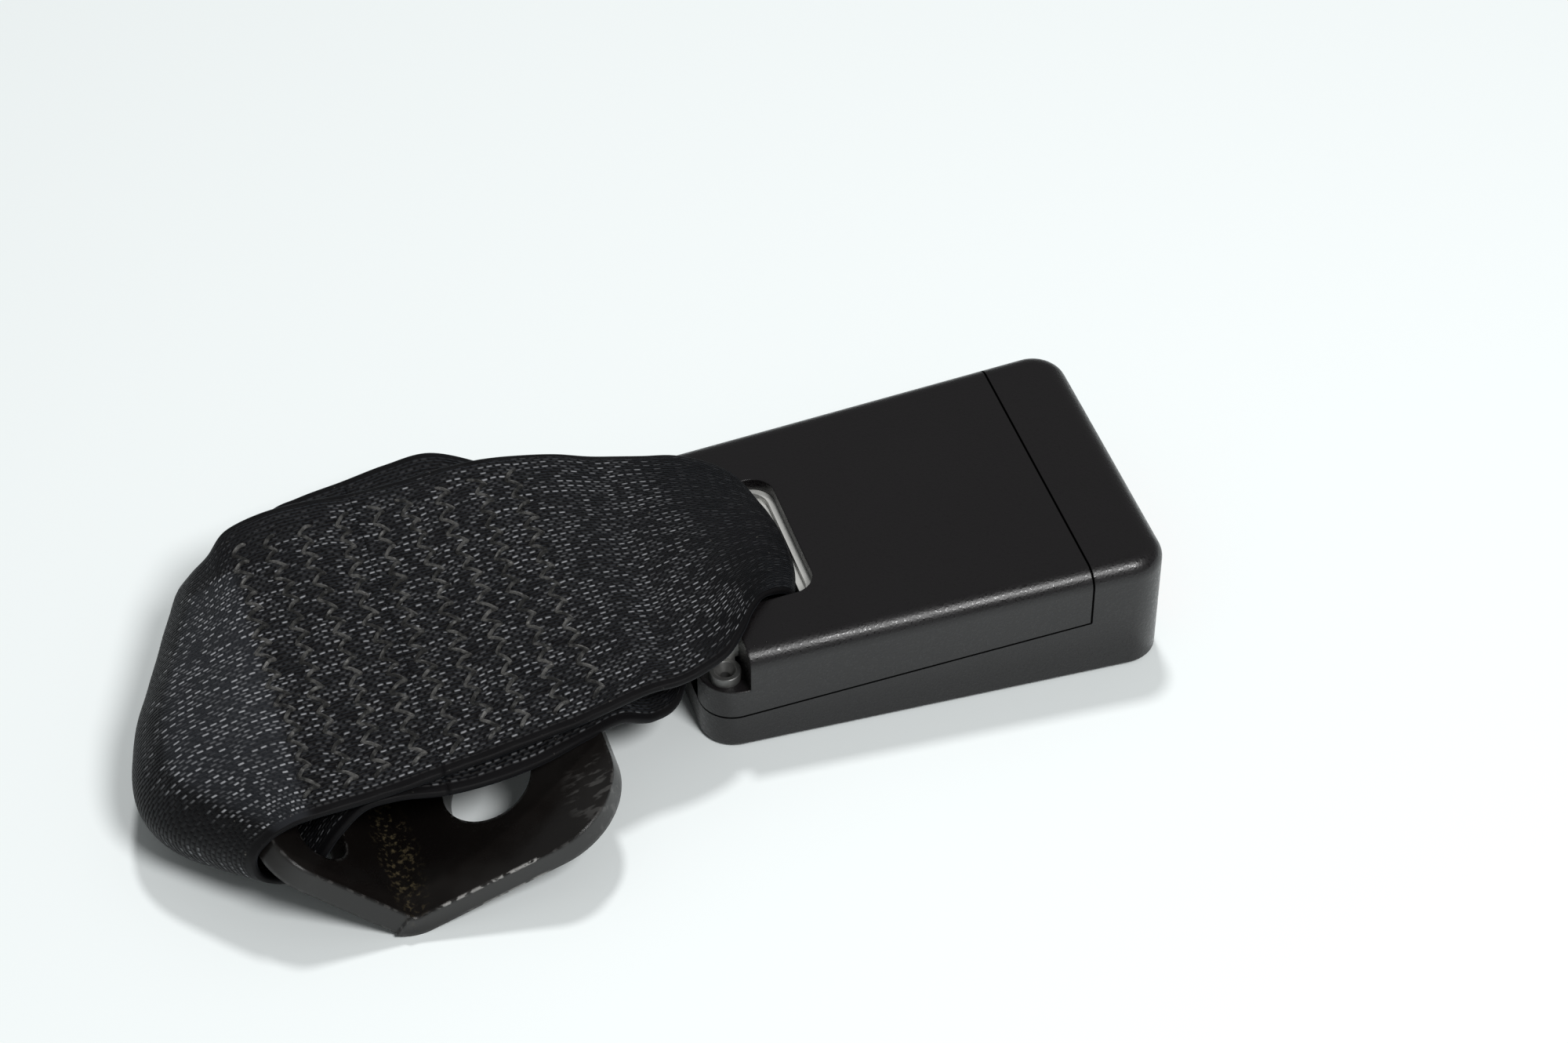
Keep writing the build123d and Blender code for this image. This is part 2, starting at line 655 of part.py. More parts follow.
with BuildPart() as strap_buckle_loop:
    start_x = lower_line[-1][0]
    over = upper_line[-1][1] + webbing / 2 + gap
    under = lower_line[-1][1] + webbing / 2
    fold_x = housing_start + slot_end - back * sin(tilt) - fold_clearance - webbing / 2
    with BuildLine() as fold:
        FilletPolyline((start_x, 0, over), (fold_x, 0, over), (fold_x, 0, under), (start_x, 0, under), radius=2.2)
    fold_path = fold.line.moved(Location((0, housing_axis_y, 0)))
    with BuildSketch(Plane(fold_path @ 0, x_dir=(0, 1, 0), z_dir=fold_path % 0)) as cut:
        Rectangle(neck_width, webbing)
    sweep(cut.sketch, path=fold_path)
strap_buckle_loop.part.label = "strap_buckle_loop"

pieces = [
    front_shell, rear_cover, frame_base, frame_top_plate, frame_rivets, guide_plate, mouth_guide,
    latch, latch_pin, pin_clips, latch_spring, release_button, button_slider, button_spring_near,
    button_spring_far, ejector, ejector_rod, ejector_spring, anchor_plate, strap_upper_ply,
    strap_lower_ply, strap_anchor_loop, strap_buckle_loop,
]
os.makedirs("parts", exist_ok=True)
for piece in pieces:
    export_step(piece.part, f"parts/{piece.part.label}.step")
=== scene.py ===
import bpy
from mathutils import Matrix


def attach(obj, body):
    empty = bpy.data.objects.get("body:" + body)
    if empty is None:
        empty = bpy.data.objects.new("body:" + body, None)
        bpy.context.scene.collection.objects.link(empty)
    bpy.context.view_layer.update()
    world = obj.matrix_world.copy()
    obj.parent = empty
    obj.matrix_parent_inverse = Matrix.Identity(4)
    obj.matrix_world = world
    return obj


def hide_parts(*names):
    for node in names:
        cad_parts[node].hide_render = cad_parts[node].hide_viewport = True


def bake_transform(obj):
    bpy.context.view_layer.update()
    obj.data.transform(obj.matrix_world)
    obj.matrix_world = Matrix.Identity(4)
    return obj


bl_info = {
    "name": "Seat Belt Buckle",
    "version": (1, 0, 0),
    "blender": (4, 5, 0),
    "location": "View3D > Sidebar > Buckle",
    "description": "Builds the finish of a seat belt buckle with its sewn webbing loop and its anchor plate",
    "category": "Add Mesh",
}

from math import atan2, cos, pi, radians, sin

import bpy
import numpy as np
from bpy.props import FloatProperty, FloatVectorProperty, IntProperty, PointerProperty
from mathutils import Vector

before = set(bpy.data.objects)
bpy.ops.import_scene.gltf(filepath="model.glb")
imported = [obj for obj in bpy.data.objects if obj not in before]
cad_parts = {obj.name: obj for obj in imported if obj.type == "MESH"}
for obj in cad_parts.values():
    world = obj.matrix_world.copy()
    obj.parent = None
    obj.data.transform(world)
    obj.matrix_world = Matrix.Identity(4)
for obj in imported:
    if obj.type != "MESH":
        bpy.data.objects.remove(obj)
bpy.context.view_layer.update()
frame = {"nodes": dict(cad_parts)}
NODES = frame["nodes"]
MM = 0.001

# ---------------------------------------------------------------- shared sizes, in millimetres
# Where the mechanism starts, its middle line, and its tilt: it rises 2.55 over a length of 59.5.
HOUSING_START = 4.5
HOUSING_AXIS_Y = 2.0
TILT = atan2(2.55, 59.5)
ALONG = Vector((cos(TILT), 0, sin(TILT)))
UP = Vector((-sin(TILT), 0, cos(TILT)))
# The joint between the cover and the front shell rises towards the end cap, which starts at CAP_X.
CAP_X = 53.6
JOINT_START = 5.05
JOINT_RISE = 4.0 / (CAP_X - HOUSING_START)
# The belt's full width, and the room that each rounded edge of it takes in its map.
BELT_WIDTH = 47.5
RIM_ROOM = 1.6


def in_buckle(along, across, above):
    """A point in millimetres along, across and above the mechanism, in the row frame, in metres."""
    return (Vector((HOUSING_START, HOUSING_AXIS_Y + across, 0)) + ALONG * along + UP * above) * MM


# ---------------------------------------------------------------- settings
def colour(name, value, description):
    return FloatVectorProperty(
        name=name, description=description, default=value, size=3, min=0, max=1, subtype="COLOR"
    )


def length(name, value, description):
    return FloatProperty(
        name=name, description=description, default=value, min=0, unit="LENGTH", precision=5
    )


def share(name, value, description):
    return FloatProperty(
        name=name, description=description, default=value, min=0, max=1, subtype="FACTOR"
    )


def power(name, value, description):
    return FloatProperty(name=name, description=description, default=value, min=0, unit="POWER")


class BuckleStageSettings(bpy.types.PropertyGroup):
    floor_colour: colour("Floor", (0.94, 0.985, 0.985), "Colour of the floor")
    backdrop: colour("Backdrop", (0.93, 0.985, 0.985), "Colour behind the object")
    room_light: FloatProperty(name="Room Light", description="Strength of the even light", default=0.2, min=0)
    key_power: power("Key Lamp", 3.0, "Lamp behind the object")
    soft_power: power("Softbox", 3.9, "Large lamp above the camera")
    lens: FloatProperty(name="Lens", description="Focal length", default=85.07, min=1, unit="CAMERA")


class BucklePlasticSettings(bpy.types.PropertyGroup):
    housing: colour("Housing", (0.0072, 0.0062, 0.0068), "Colour of the two shells")
    roughness: share("Roughness", 0.38, "Roughness of the shells")
    grain: length("Grain", 0.00038, "Size of the moulded grain")
    relief: length("Relief", 0.00004, "Height of the moulded grain")
    inner: colour("Inner Parts", (0.09, 0.09, 0.095), "Colour of slider, ejector and mouth guide")
    button: colour("Button", (0.5, 0.022, 0.014), "Colour of the release button")


class BuckleMetalSettings(bpy.types.PropertyGroup):
    frame: colour("Frame", (0.8, 0.8, 0.77), "Zinc-plated frame, latch and plates")
    rivet: colour("Rivets", (0.16, 0.16, 0.155), "Dark phosphate on the rivets")
    wire: colour("Wire", (0.45, 0.45, 0.44), "Spring wire, pin and clips")
    edge: length("Edge", 0.00007, "Softness of the sheet's edges")


class BucklePaintSettings(bpy.types.PropertyGroup):
    paint: colour("Paint", (0.0052, 0.0042, 0.0038), "Black paint of the anchor plate")
    bare: colour("Bare Metal", (0.55, 0.54, 0.52), "Steel where the paint has gone")
    dust: colour("Dust", (0.35, 0.28, 0.15), "Dust in the bend")
    roughness: share("Roughness", 0.3, "Roughness of the paint")
    edge: length("Edge", 0.0007, "Softness of the plate's edges")


class BuckleWebbingSettings(bpy.types.PropertyGroup):
    width: length("Width", BELT_WIDTH * MM, "Full width of the belt")
    thickness: length("Thickness", 0.00122, "Thickness of one ply")
    rib: length("Rib", 0.00053, "Spacing of the ribs across the belt")
    dash: length("Dash", 0.00112, "Length of one float along the belt")
    yarn: colour("Yarn", (0.0036, 0.0033, 0.0038), "Colour between the floats")
    # The colour of the painted glints on the crowns of the floats.
    glint_colour: colour("Glints", (0.3, 0.305, 0.32), "Colour of the floats")
    thread: colour("Thread", (0.2, 0.197, 0.19), "Colour of the sewing thread")
    thread_radius: length("Thread Radius", 0.00027, "Half the thickness of the sewing thread")
    rows: IntProperty(name="Rows", description="Zig-zag rows across the belt", default=9, min=1)


SETTINGS = {
    "buckle_stage": BuckleStageSettings,
    "buckle_plastic": BucklePlasticSettings,
    "buckle_metal": BuckleMetalSettings,
    "buckle_paint": BucklePaintSettings,
    "buckle_webbing": BuckleWebbingSettings,
}


# ---------------------------------------------------------------- shader helpers
class Graph:
    """Places and joins nodes in one material or group."""

    def __init__(self, tree):
        self.tree = tree

    def node(self, kind, values=None, **settings):
        made = self.tree.nodes.new("ShaderNode" + kind)
        for key, value in settings.items():
            setattr(made, key, value)
        for key, value in (values or {}).items():
            self.feed(made.inputs[key], value)
        return made

    def feed(self, socket, value):
        if isinstance(value, bpy.types.NodeSocket):
            self.tree.links.new(value, socket)
        elif socket.type == "RGBA" and len(value) == 3:
            socket.default_value = (*value, 1)
        else:
            socket.default_value = value

    def math(self, operation, *values):
        return self.node("Math", dict(enumerate(values)), operation=operation).outputs[0]

    def vector(self, operation, *values):
        made = self.node("VectorMath", dict(enumerate(values)), operation=operation)
        return made.outputs["Value" if operation in ("LENGTH", "DOT_PRODUCT") else "Vector"]

    def fade(self, value, low, high):
        """0 at low and 1 at high, smooth between, whichever of the two is the larger."""
        made = self.node("MapRange", interpolation_type="SMOOTHSTEP")
        self.feed(made.inputs["Value"], value)
        self.feed(made.inputs["From Min"], low)
        self.feed(made.inputs["From Max"], high)
        return made.outputs["Result"]

    def mix(self, factor, first, second):
        """The colour first where factor is 0, and second where it is 1."""
        made = self.node("Mix", data_type="RGBA")
        self.feed(made.inputs[0], factor)
        self.feed(made.inputs[6], first)
        self.feed(made.inputs[7], second)
        return made.outputs[2]

    def noise(self, size, detail=2.0, where=None, stretch=None):
        """Noise whose lumps are about size metres across, from 0 to 1."""
        place = where or self.node("TexCoord").outputs["Object"]
        if stretch:
            place = self.vector("MULTIPLY", place, stretch)
        scale = self.math("DIVIDE", 1.0, size) if isinstance(size, bpy.types.NodeSocket) else 1.0 / size
        made = self.node("TexNoise", {"Vector": place, "Scale": scale, "Detail": detail})
        return made.outputs["Fac"]

    def group(self, name, **values):
        made = self.node("Group", node_tree=bpy.data.node_groups[name])
        for key, value in values.items():
            self.feed(made.inputs[key.title()], value)
        return made.outputs


def new_group(name, inputs, outputs):
    """An empty shader group. inputs are (name, kind, default) and outputs (name, kind)."""
    tree = bpy.data.node_groups.new(name, "ShaderNodeTree")
    for label, kind, default in inputs:
        socket = tree.interface.new_socket(label, in_out="INPUT", socket_type="NodeSocket" + kind)
        socket.default_value = default
    for label, kind in outputs:
        tree.interface.new_socket(label, in_out="OUTPUT", socket_type="NodeSocket" + kind)
    return Graph(tree), tree.nodes.new("NodeGroupInput").outputs, tree.nodes.new("NodeGroupOutput").inputs


def make_grain():
    """Lumps as a mould leaves them, and the specks on the highest of them."""
    graph, given, out = new_group(
        "moulded grain",
        [("Size", "Float", 0.0003), ("Relief", "Float", 0.00003), ("Base", "Vector", (0, 0, 0))],
        [("Normal", "Vector"), ("Speck", "Float")],
    )
    lumps = graph.noise(given["Size"], 3.0)
    graph.feed(out["Speck"], graph.fade(lumps, 0.52, 0.72))
    bump = graph.node("Bump", {"Height": lumps, "Distance": given["Relief"], "Normal": given["Base"]})
    graph.feed(out["Normal"], bump.outputs[0])


def make_soft_edges():
    """Edges rounded in the shading, and a mask of them."""
    graph, given, out = new_group(
        "soft edges",
        [("Radius", "Float", 0.0003)],
        [("Normal", "Vector"), ("Edge", "Float")],
    )
    bevel = graph.node("Bevel", {"Radius": given["Radius"]}, samples=6)
    turned = graph.vector("DOT_PRODUCT", bevel.outputs[0], graph.node("NewGeometry").outputs["Normal"])
    graph.feed(out["Edge"], graph.fade(turned, 0.985, 0.86))
    graph.feed(out["Normal"], bevel.outputs[0])


def make_patch():
    """A soft round spot, for wear and dust in one place."""
    graph, given, out = new_group(
        "patch",
        [("Centre", "Vector", (0, 0, 0)), ("Size", "Vector", (0.01, 0.01, 0.01))],
        [("Mask", "Float")],
    )
    away = graph.vector("SUBTRACT", graph.node("TexCoord").outputs["Object"], given["Centre"])
    away = graph.vector("LENGTH", graph.vector("DIVIDE", away, given["Size"]))
    graph.feed(out["Mask"], graph.fade(away, 1.0, 0.35))


def make_weave():
    """Ribs along the belt, each a line of floats, in the belt's own map."""
    graph, given, out = new_group(
        "weave",
        [("Rib", "Float", 0.0007), ("Dash", "Float", 0.0009), ("Width", "Float", BELT_WIDTH * MM)],
        [("Height", "Float"), ("Glints", "Float")],
    )
    belt = graph.node("UVMap", uv_map="belt").outputs[0]
    apart = graph.node("SeparateXYZ", {"Vector": belt}).outputs
    # The ribs wander a little, and every other one is weak.
    wander = graph.math("SUBTRACT", graph.noise(0.005, 1.0, belt), 0.5)
    wander = graph.math("MULTIPLY", wander, 0.0007)
    row = graph.math("DIVIDE", graph.math("ADD", apart["Y"], wander), given["Rib"])
    number = graph.math("FLOOR", row)
    weak = graph.math("PINGPONG", number, 1.0)
    # The floats of a weak rib lie half a float further on, and each rib adds a shift of its own.
    half_on = graph.math("MULTIPLY", weak, 0.5)
    own = graph.node("TexWhiteNoise", {"W": number}, noise_dimensions="1D").outputs["Value"]
    shift = graph.math("ADD", half_on, graph.math("MULTIPLY", own, 0.22))
    step = graph.math("ADD", graph.math("DIVIDE", apart["X"], given["Dash"]), shift)
    one = graph.node("CombineXYZ", {"X": number, "Y": graph.math("FLOOR", step)}).outputs[0]
    each = graph.node("TexWhiteNoise", {"Vector": one}, noise_dimensions="3D").outputs["Value"]
    across = graph.math("SINE", graph.math("MULTIPLY", graph.math("FRACT", row), pi))
    along = graph.math("SINE", graph.math("MULTIPLY", graph.math("FRACT", step), pi))
    swell = graph.math("MULTIPLY_ADD", graph.math("POWER", along, 0.5), 0.75, 0.25)
    height = graph.math("MULTIPLY", across, swell)
    # The two faces lie side by side in the map, and each has a plain selvedge along both edges.
    turned = graph.math("MODULO", apart["Y"], graph.math("ADD", given["Width"], RIM_ROOM * MM))
    inside = graph.math("MINIMUM", turned, graph.math("SUBTRACT", given["Width"], turned))
    woven = graph.math("SUBTRACT", 1.0, graph.fade(inside, 0.0011, 0.0005))
    graph.feed(out["Height"], graph.math("MULTIPLY", height, woven))
    # Only the crown of a float gets a painted glint, and some floats and some areas more than others.
    glint = graph.math("MULTIPLY", graph.fade(across, 0.55, 0.98), graph.fade(along, 0.3, 0.9))
    area = graph.math("MULTIPLY", graph.noise(0.0035, 3.0, belt), 0.9)
    lively = graph.math("MULTIPLY_ADD", each, 0.85, area)
    strength = graph.math("MULTIPLY_ADD", weak, -0.8, 1.0)
    floats = graph.math("MULTIPLY", strength, graph.fade(lively, 0.55, 1.4))
    floats = graph.math("MULTIPLY", glint, floats)
    graph.feed(out["Glints"], graph.math("MULTIPLY", floats, woven))


def new_finish(name, base, roughness, metallic=0.0, specular=0.5):
    """A material with its main shader's constants, a graph to add to it, and that shader's inputs."""
    made = bpy.data.materials.new(name)
    made.use_nodes = True
    shader = made.node_tree.nodes["Principled BSDF"]
    shader.inputs["Base Color"].default_value = (*base, 1)
    shader.inputs["Roughness"].default_value = roughness
    shader.inputs["Metallic"].default_value = metallic
    shader.inputs["Specular IOR Level"].default_value = specular
    return made, Graph(made.node_tree), shader.inputs


def lay_grain(graph, inputs, radius, size, relief):
    """Soften the edges and lay a grain over them. Returns what both groups put out."""
    edges = graph.group("soft edges", radius=radius)
    grain = graph.group("moulded grain", size=size, relief=relief, base=edges["Normal"])
    graph.feed(inputs["Normal"], grain["Normal"])
    return edges, grain


def paint_nodes(finish, slot, *names):
    """Give these CAD nodes one finish, in one material slot. slot is not used."""
    for name in names:
        node = NODES[name]
        node.data.materials.clear()
        node.data.materials.append(finish)


# ---------------------------------------------------------------- stage
FLOOR_REACH = 3.0
LIT_CENTRE = Vector((0, 0, 0.01))
SENSOR_WIDTH = 36
CAMERA_PLACE = (-0.0815, -0.3127, 0.3377)
CAMERA_AZIMUTH = radians(-17.91)
CAMERA_ELEVATION = radians(44.07)
ROOM_COLOUR = (0.97, 1.0, 1.0)


def new_holder(context, name, data, place, back):
    """An object at place that holds a lamp or a camera, with its back turned to back."""
    holder = bpy.data.objects.new(name, data)
    context.scene.collection.objects.link(holder)
    holder.location = place
    holder.rotation_mode = "QUATERNION"
    holder.rotation_quaternion = back.to_track_quat("Z", "Y")
    return holder


class BUCKLE_OT_stage(bpy.types.Operator):
    """Make the floor, the lights, the world and the camera"""

    bl_idname = "buckle.stage"
    bl_label = "Stage"

    def execute(self, context):
        given = context.scene.buckle_stage
        mesh = bpy.data.meshes.new("floor")
        corners = ((-1, -1), (1, -1), (1, 1), (-1, 1))
        mesh.from_pydata([(x * FLOOR_REACH, y * FLOOR_REACH, 0) for x, y in corners], [], [(0, 1, 2, 3)])
        floor = bpy.data.objects.new("floor", mesh)
        context.scene.collection.objects.link(floor)
        mesh.materials.append(new_finish("floor", given.floor_colour, 0.9, specular=0.1)[0])

        world = bpy.data.worlds.new("room")
        world.use_nodes = True
        context.scene.world = world
        world.node_tree.nodes.clear()
        graph = Graph(world.node_tree)
        room = graph.node("Background", {"Color": ROOM_COLOUR, "Strength": given.room_light})
        behind = graph.node("Background", {"Color": given.backdrop, "Strength": 1.0})
        ray = graph.node("LightPath").outputs["Is Camera Ray"]
        both = graph.node("MixShader", {0: ray, 1: room.outputs[0], 2: behind.outputs[0]})
        graph.node("OutputWorld", {"Surface": both.outputs[0]})

        for name, towards, distance, size, watts, glossy in (
            ("softbox", Vector((0.2, -0.58, 0.79)), 0.8, 0.24, given.soft_power, True),
            ("key", Vector((0.1, 0.36, 0.93)), 0.9, 0.12, given.key_power, False),
        ):
            lamp = bpy.data.lights.new(name, "AREA")
            lamp.shape = "DISK"
            lamp.size = size
            lamp.energy = watts
            place = LIT_CENTRE + towards.normalized() * distance
            new_holder(context, name, lamp, place, towards).visible_glossy = glossy

        camera = bpy.data.cameras.new("camera")
        camera.lens = given.lens
        camera.sensor_width = SENSOR_WIDTH
        camera.clip_start = 0.01
        level = cos(CAMERA_ELEVATION)
        back = Vector((sin(CAMERA_AZIMUTH) * level, -cos(CAMERA_AZIMUTH) * level, sin(CAMERA_ELEVATION)))
        context.scene.camera = new_holder(context, "camera", camera, CAMERA_PLACE, back)
        context.scene.view_settings.view_transform = "Standard"
        return {"FINISHED"}


# ---------------------------------------------------------------- housing
# The joint's dark line, in metres: how far from its middle it starts and is full, and how its ends fade out.
JOINT_FADE = (0.00019, 0.00009)
JOINT_END = 0.0001
JOINT_BLACK = (0.0, 0.0, 0.0)


class BUCKLE_OT_housing(bpy.types.Operator):
    """Give the two shells their moulded black finish"""

    bl_idname = "buckle.housing"
    bl_label = "Housing"

    def execute(self, context):
        given = context.scene.buckle_plastic
        finish, graph, inputs = new_finish("housing_plastic", given.housing, given.roughness)
        _, grain = lay_grain(graph, inputs, 0.00035, given.grain, given.relief)
        handled = graph.fade(graph.noise(0.018, 3.0), 0.4, 0.7)
        rough = graph.math("MULTIPLY_ADD", handled, 0.08, given.roughness - 0.04)
        rough = graph.math("MULTIPLY_ADD", grain["Speck"], -0.24, rough)
        # the open joint between the cover and the front shell, and up the side of the end cap
        apart = graph.node("SeparateXYZ", {"Vector": graph.node("TexCoord").outputs["Object"]}).outputs
        start = (JOINT_START - JOINT_RISE * HOUSING_START) * MM
        level = graph.math("MULTIPLY_ADD", apart["X"], JOINT_RISE, start)
        above = graph.math("SUBTRACT", apart["Z"], level)
        beyond = graph.math("SUBTRACT", apart["X"], CAP_X * MM)
        low = graph.fade(graph.math("ABSOLUTE", above), *JOINT_FADE)
        low = graph.math("MULTIPLY", low, graph.fade(beyond, JOINT_END, 0.0))
        cap = graph.fade(graph.math("ABSOLUTE", beyond), *JOINT_FADE)
        cap = graph.math("MULTIPLY", cap, graph.fade(above, -JOINT_END, 0.0))
        joint = graph.math("MAXIMUM", low, cap)
        graph.feed(inputs["Base Color"], graph.mix(joint, given.housing, JOINT_BLACK))
        graph.feed(inputs["Metallic"], joint)
        graph.feed(inputs["Roughness"], graph.math("MAXIMUM", rough, joint))
        paint_nodes(finish, "housing_plastic", "front_shell", "rear_cover")
        return {"FINISHED"}


# ---------------------------------------------------------------- metal and inner parts
DULL_SHARE = 0.82
RUBBED_STEEL = (0.4, 0.4, 0.39)


class BUCKLE_OT_metalwork(bpy.types.Operator):
    """Give the frame, latch, plates, pin and rivets their metal finishes"""

    bl_idname = "buckle.metalwork"
    bl_label = "Metalwork"

    def execute(self, context):
        given = context.scene.buckle_metal
        finish, graph, inputs = new_finish("frame_steel", given.frame, 0.6, metallic=0.35)
        _, grain = lay_grain(graph, inputs, given.edge, 0.00022, 0.000012)
        dull = graph.noise(0.006, 3.0)
        dark = tuple(DULL_SHARE * c for c in given.frame)
        graph.feed(inputs["Base Color"], graph.mix(dull, dark, given.frame))
        graph.feed(inputs["Roughness"], graph.math("MULTIPLY_ADD", grain["Speck"], 0.15, 0.5))
        paint_nodes(finish, "frame_steel", "frame_base", "frame_top_plate", "guide_plate", "latch")

        finish, graph, inputs = new_finish("dark_steel", given.rivet, 0.42, metallic=0.7)
        edges, _ = lay_grain(graph, inputs, 0.00025, 0.0002, 0.00001)
        # The rivets' edges are worn paler in places.
        paler_patches = graph.math("MULTIPLY", edges["Edge"], graph.fade(graph.noise(0.0012, 2.0), 0.4, 0.6))
        graph.feed(inputs["Base Color"], graph.mix(paler_patches, given.rivet, RUBBED_STEEL))
        paint_nodes(finish, "dark_steel", "frame_rivets")

        finish, graph, inputs = new_finish("spring_steel", given.wire, 0.32, metallic=0.9)
        graph.feed(inputs["Normal"], graph.group("soft edges", radius=0.00012)["Normal"])
        graph.feed(inputs["Roughness"], graph.math("MULTIPLY_ADD", graph.noise(0.002), 0.2, 0.22))
        paint_nodes(finish, "spring_steel", "latch_pin", "pin_clips", "ejector_rod")
        return {"FINISHED"}


class BUCKLE_OT_mechanism(bpy.types.Operator):
    """Give the button, slider, ejector and mouth guide their plastics"""

    bl_idname = "buckle.mechanism"
    bl_label = "Mechanism"

    def execute(self, context):
        given = context.scene.buckle_plastic
        for name, base, roughness, nodes in (
            ("inner_plastic", given.inner, 0.42, ("mouth_guide", "button_slider", "ejector")),
            ("button_plastic", given.button, 0.28, ("release_button",)),
        ):
            finish, graph, inputs = new_finish(name, base, roughness)
            lay_grain(graph, inputs, 0.0004, 0.0008, 0.000006)
            rough = graph.math("MULTIPLY_ADD", graph.noise(0.004), 0.12, roughness - 0.06)
            graph.feed(inputs["Roughness"], rough)
            paint_nodes(finish, name, *nodes)
        return {"FINISHED"}


# ---------------------------------------------------------------- springs
# A direction that no wire or thread runs along, from which the rings of a tube are turned.
OFF_AXIS = np.array([0.31, 0.17, 0.93])
WIRE_RADIUS = 0.28
STEPS_PER_TURN = 16
# A coil fills this share of its room, and the second share is added away from its closed end turns.
COIL_FILL, COIL_OPEN = 0.92, 0.08
# The leaf under the latch, along and above the mechanism, with half its width and half its sheet.
LEAF = (
    (22.5, 1.0), (26, 1.0), (29.5, 1.02), (31.3, 1.35), (33, 2.0), (34.6, 2.65), (35.8, 3.02), (38.5, 3.08),
)
LEAF_HALF_WIDTH, LEAF_HALF_SHEET = 2.5, 0.2
LEAF_CORNERS = ((-1, -1), (1, -1), (1, 1), (-1, 1))


def ring_faces(count, sides):
    """Faces between count rings of sides vertices each, and one over each end."""
    faces = []
    for i in range(count - 1):
        for j in range(sides):
            k = (j + 1) % sides
            faces.append((i * sides + j, i * sides + k, (i + 1) * sides + k, (i + 1) * sides + j))
    faces.append(tuple(reversed(range(sides))))
    faces.append(tuple(range((count - 1) * sides, count * sides)))
    return faces


def tube(points, radius, sides=8):
    """Rings of vertices round a line of points, and their faces, with closed ends."""
    points = np.asarray(points, float)
    ahead = np.gradient(points, axis=0)
    ahead /= np.linalg.norm(ahead, axis=1)[:, None]
    side = np.cross(ahead, OFF_AXIS)
    side /= np.linalg.norm(side, axis=1)[:, None]
    other = np.cross(ahead, side)
    turn = np.arange(sides) * 2 * pi / sides
    ring = side[:, None] * np.cos(turn)[None, :, None] + other[:, None] * np.sin(turn)[None, :, None]
    vertices = (points[:, None] + ring * radius).reshape(-1, 3)
    return vertices, ring_faces(len(points), sides)


def coil(start, end, across, above, radius, turns):
    """Points along a coil spring between start and end, with its end turns closed up."""
    points = []
    steps = turns * STEPS_PER_TURN
    for step in range(steps + 1):
        angle = 2 * pi * step / STEPS_PER_TURN
        opened = min(1.0, step / STEPS_PER_TURN, (steps - step) / STEPS_PER_TURN)
        done = step / steps
        reach = end - start - 2 * WIRE_RADIUS
        place = start + WIRE_RADIUS + reach * done * (COIL_FILL + COIL_OPEN * opened)
        points.append(tuple(in_buckle(place, across + radius * cos(angle), above + radius * sin(angle))))
    return points


def new_piece(name, vertices, faces, finish, smooth=True):
    """A mesh of the scene's own, in the scene and with its slot."""
    mesh = bpy.data.meshes.new(name)
    mesh.from_pydata([tuple(v) for v in vertices], [], faces)
    mesh.materials.append(finish)
    if smooth:
        mesh.shade_smooth()
    mesh.update()
    piece = bpy.data.objects.new(name, mesh)
    bpy.context.scene.collection.objects.link(piece)
    return piece


class BUCKLE_OT_springs(bpy.types.Operator):
    """Wind the coil springs from round wire and bend the latch's leaf"""

    bl_idname = "buckle.springs"
    bl_label = "Springs"

    def execute(self, context):
        finish = bpy.data.materials["spring_steel"]
        for name, start, end, across, above, radius, turns, mover in (
            ("button_spring_near", 45.5, 54.0, -7.5, 2.1, 1.2, 7, "button"),
            ("button_spring_far", 45.5, 54.0, 7.5, 2.1, 1.2, 7, "button"),
            ("ejector_spring", 18.0, 27.4, 0.0, 8.0, 1.7, 7, "ejector_slide"),
        ):
            vertices, faces = tube(coil(start, end, across, above, radius, turns), WIRE_RADIUS * MM)
            spring = new_piece("wire_" + name, vertices, faces, finish)
            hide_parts(name)
            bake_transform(spring)
        vertices = [
            in_buckle(along, across * LEAF_HALF_WIDTH, above + over * LEAF_HALF_SHEET)
            for along, above in LEAF
            for across, over in LEAF_CORNERS
        ]
        faces = ring_faces(len(LEAF), len(LEAF_CORNERS))
        leaf = new_piece("leaf_latch_spring", vertices, faces, finish, smooth=False)
        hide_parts("latch_spring")
        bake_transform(leaf)
        return {"FINISHED"}


# ---------------------------------------------------------------- anchor plate
# Centre and half size, in metres, of the bare line along the near edge of the bolt arm, of the scuffs by the
# end of that arm, and of the dust along the inside of the bend.
BARE_LINE = {"centre": (-0.0275, -0.0338, 0.0062), "size": (0.009, 0.0022, 0.006)}
SCUFFS = {"centre": (-0.0125, -0.0285, 0.0105), "size": (0.005, 0.0075, 0.006)}
BEND = {"centre": (-0.0365, -0.024, 0.003), "size": (0.0032, 0.013, 0.004)}
SCUFF_STRETCH = (0.45, 1.6, 1.0)
HAZE_COLOUR = (0.03, 0.028, 0.026)


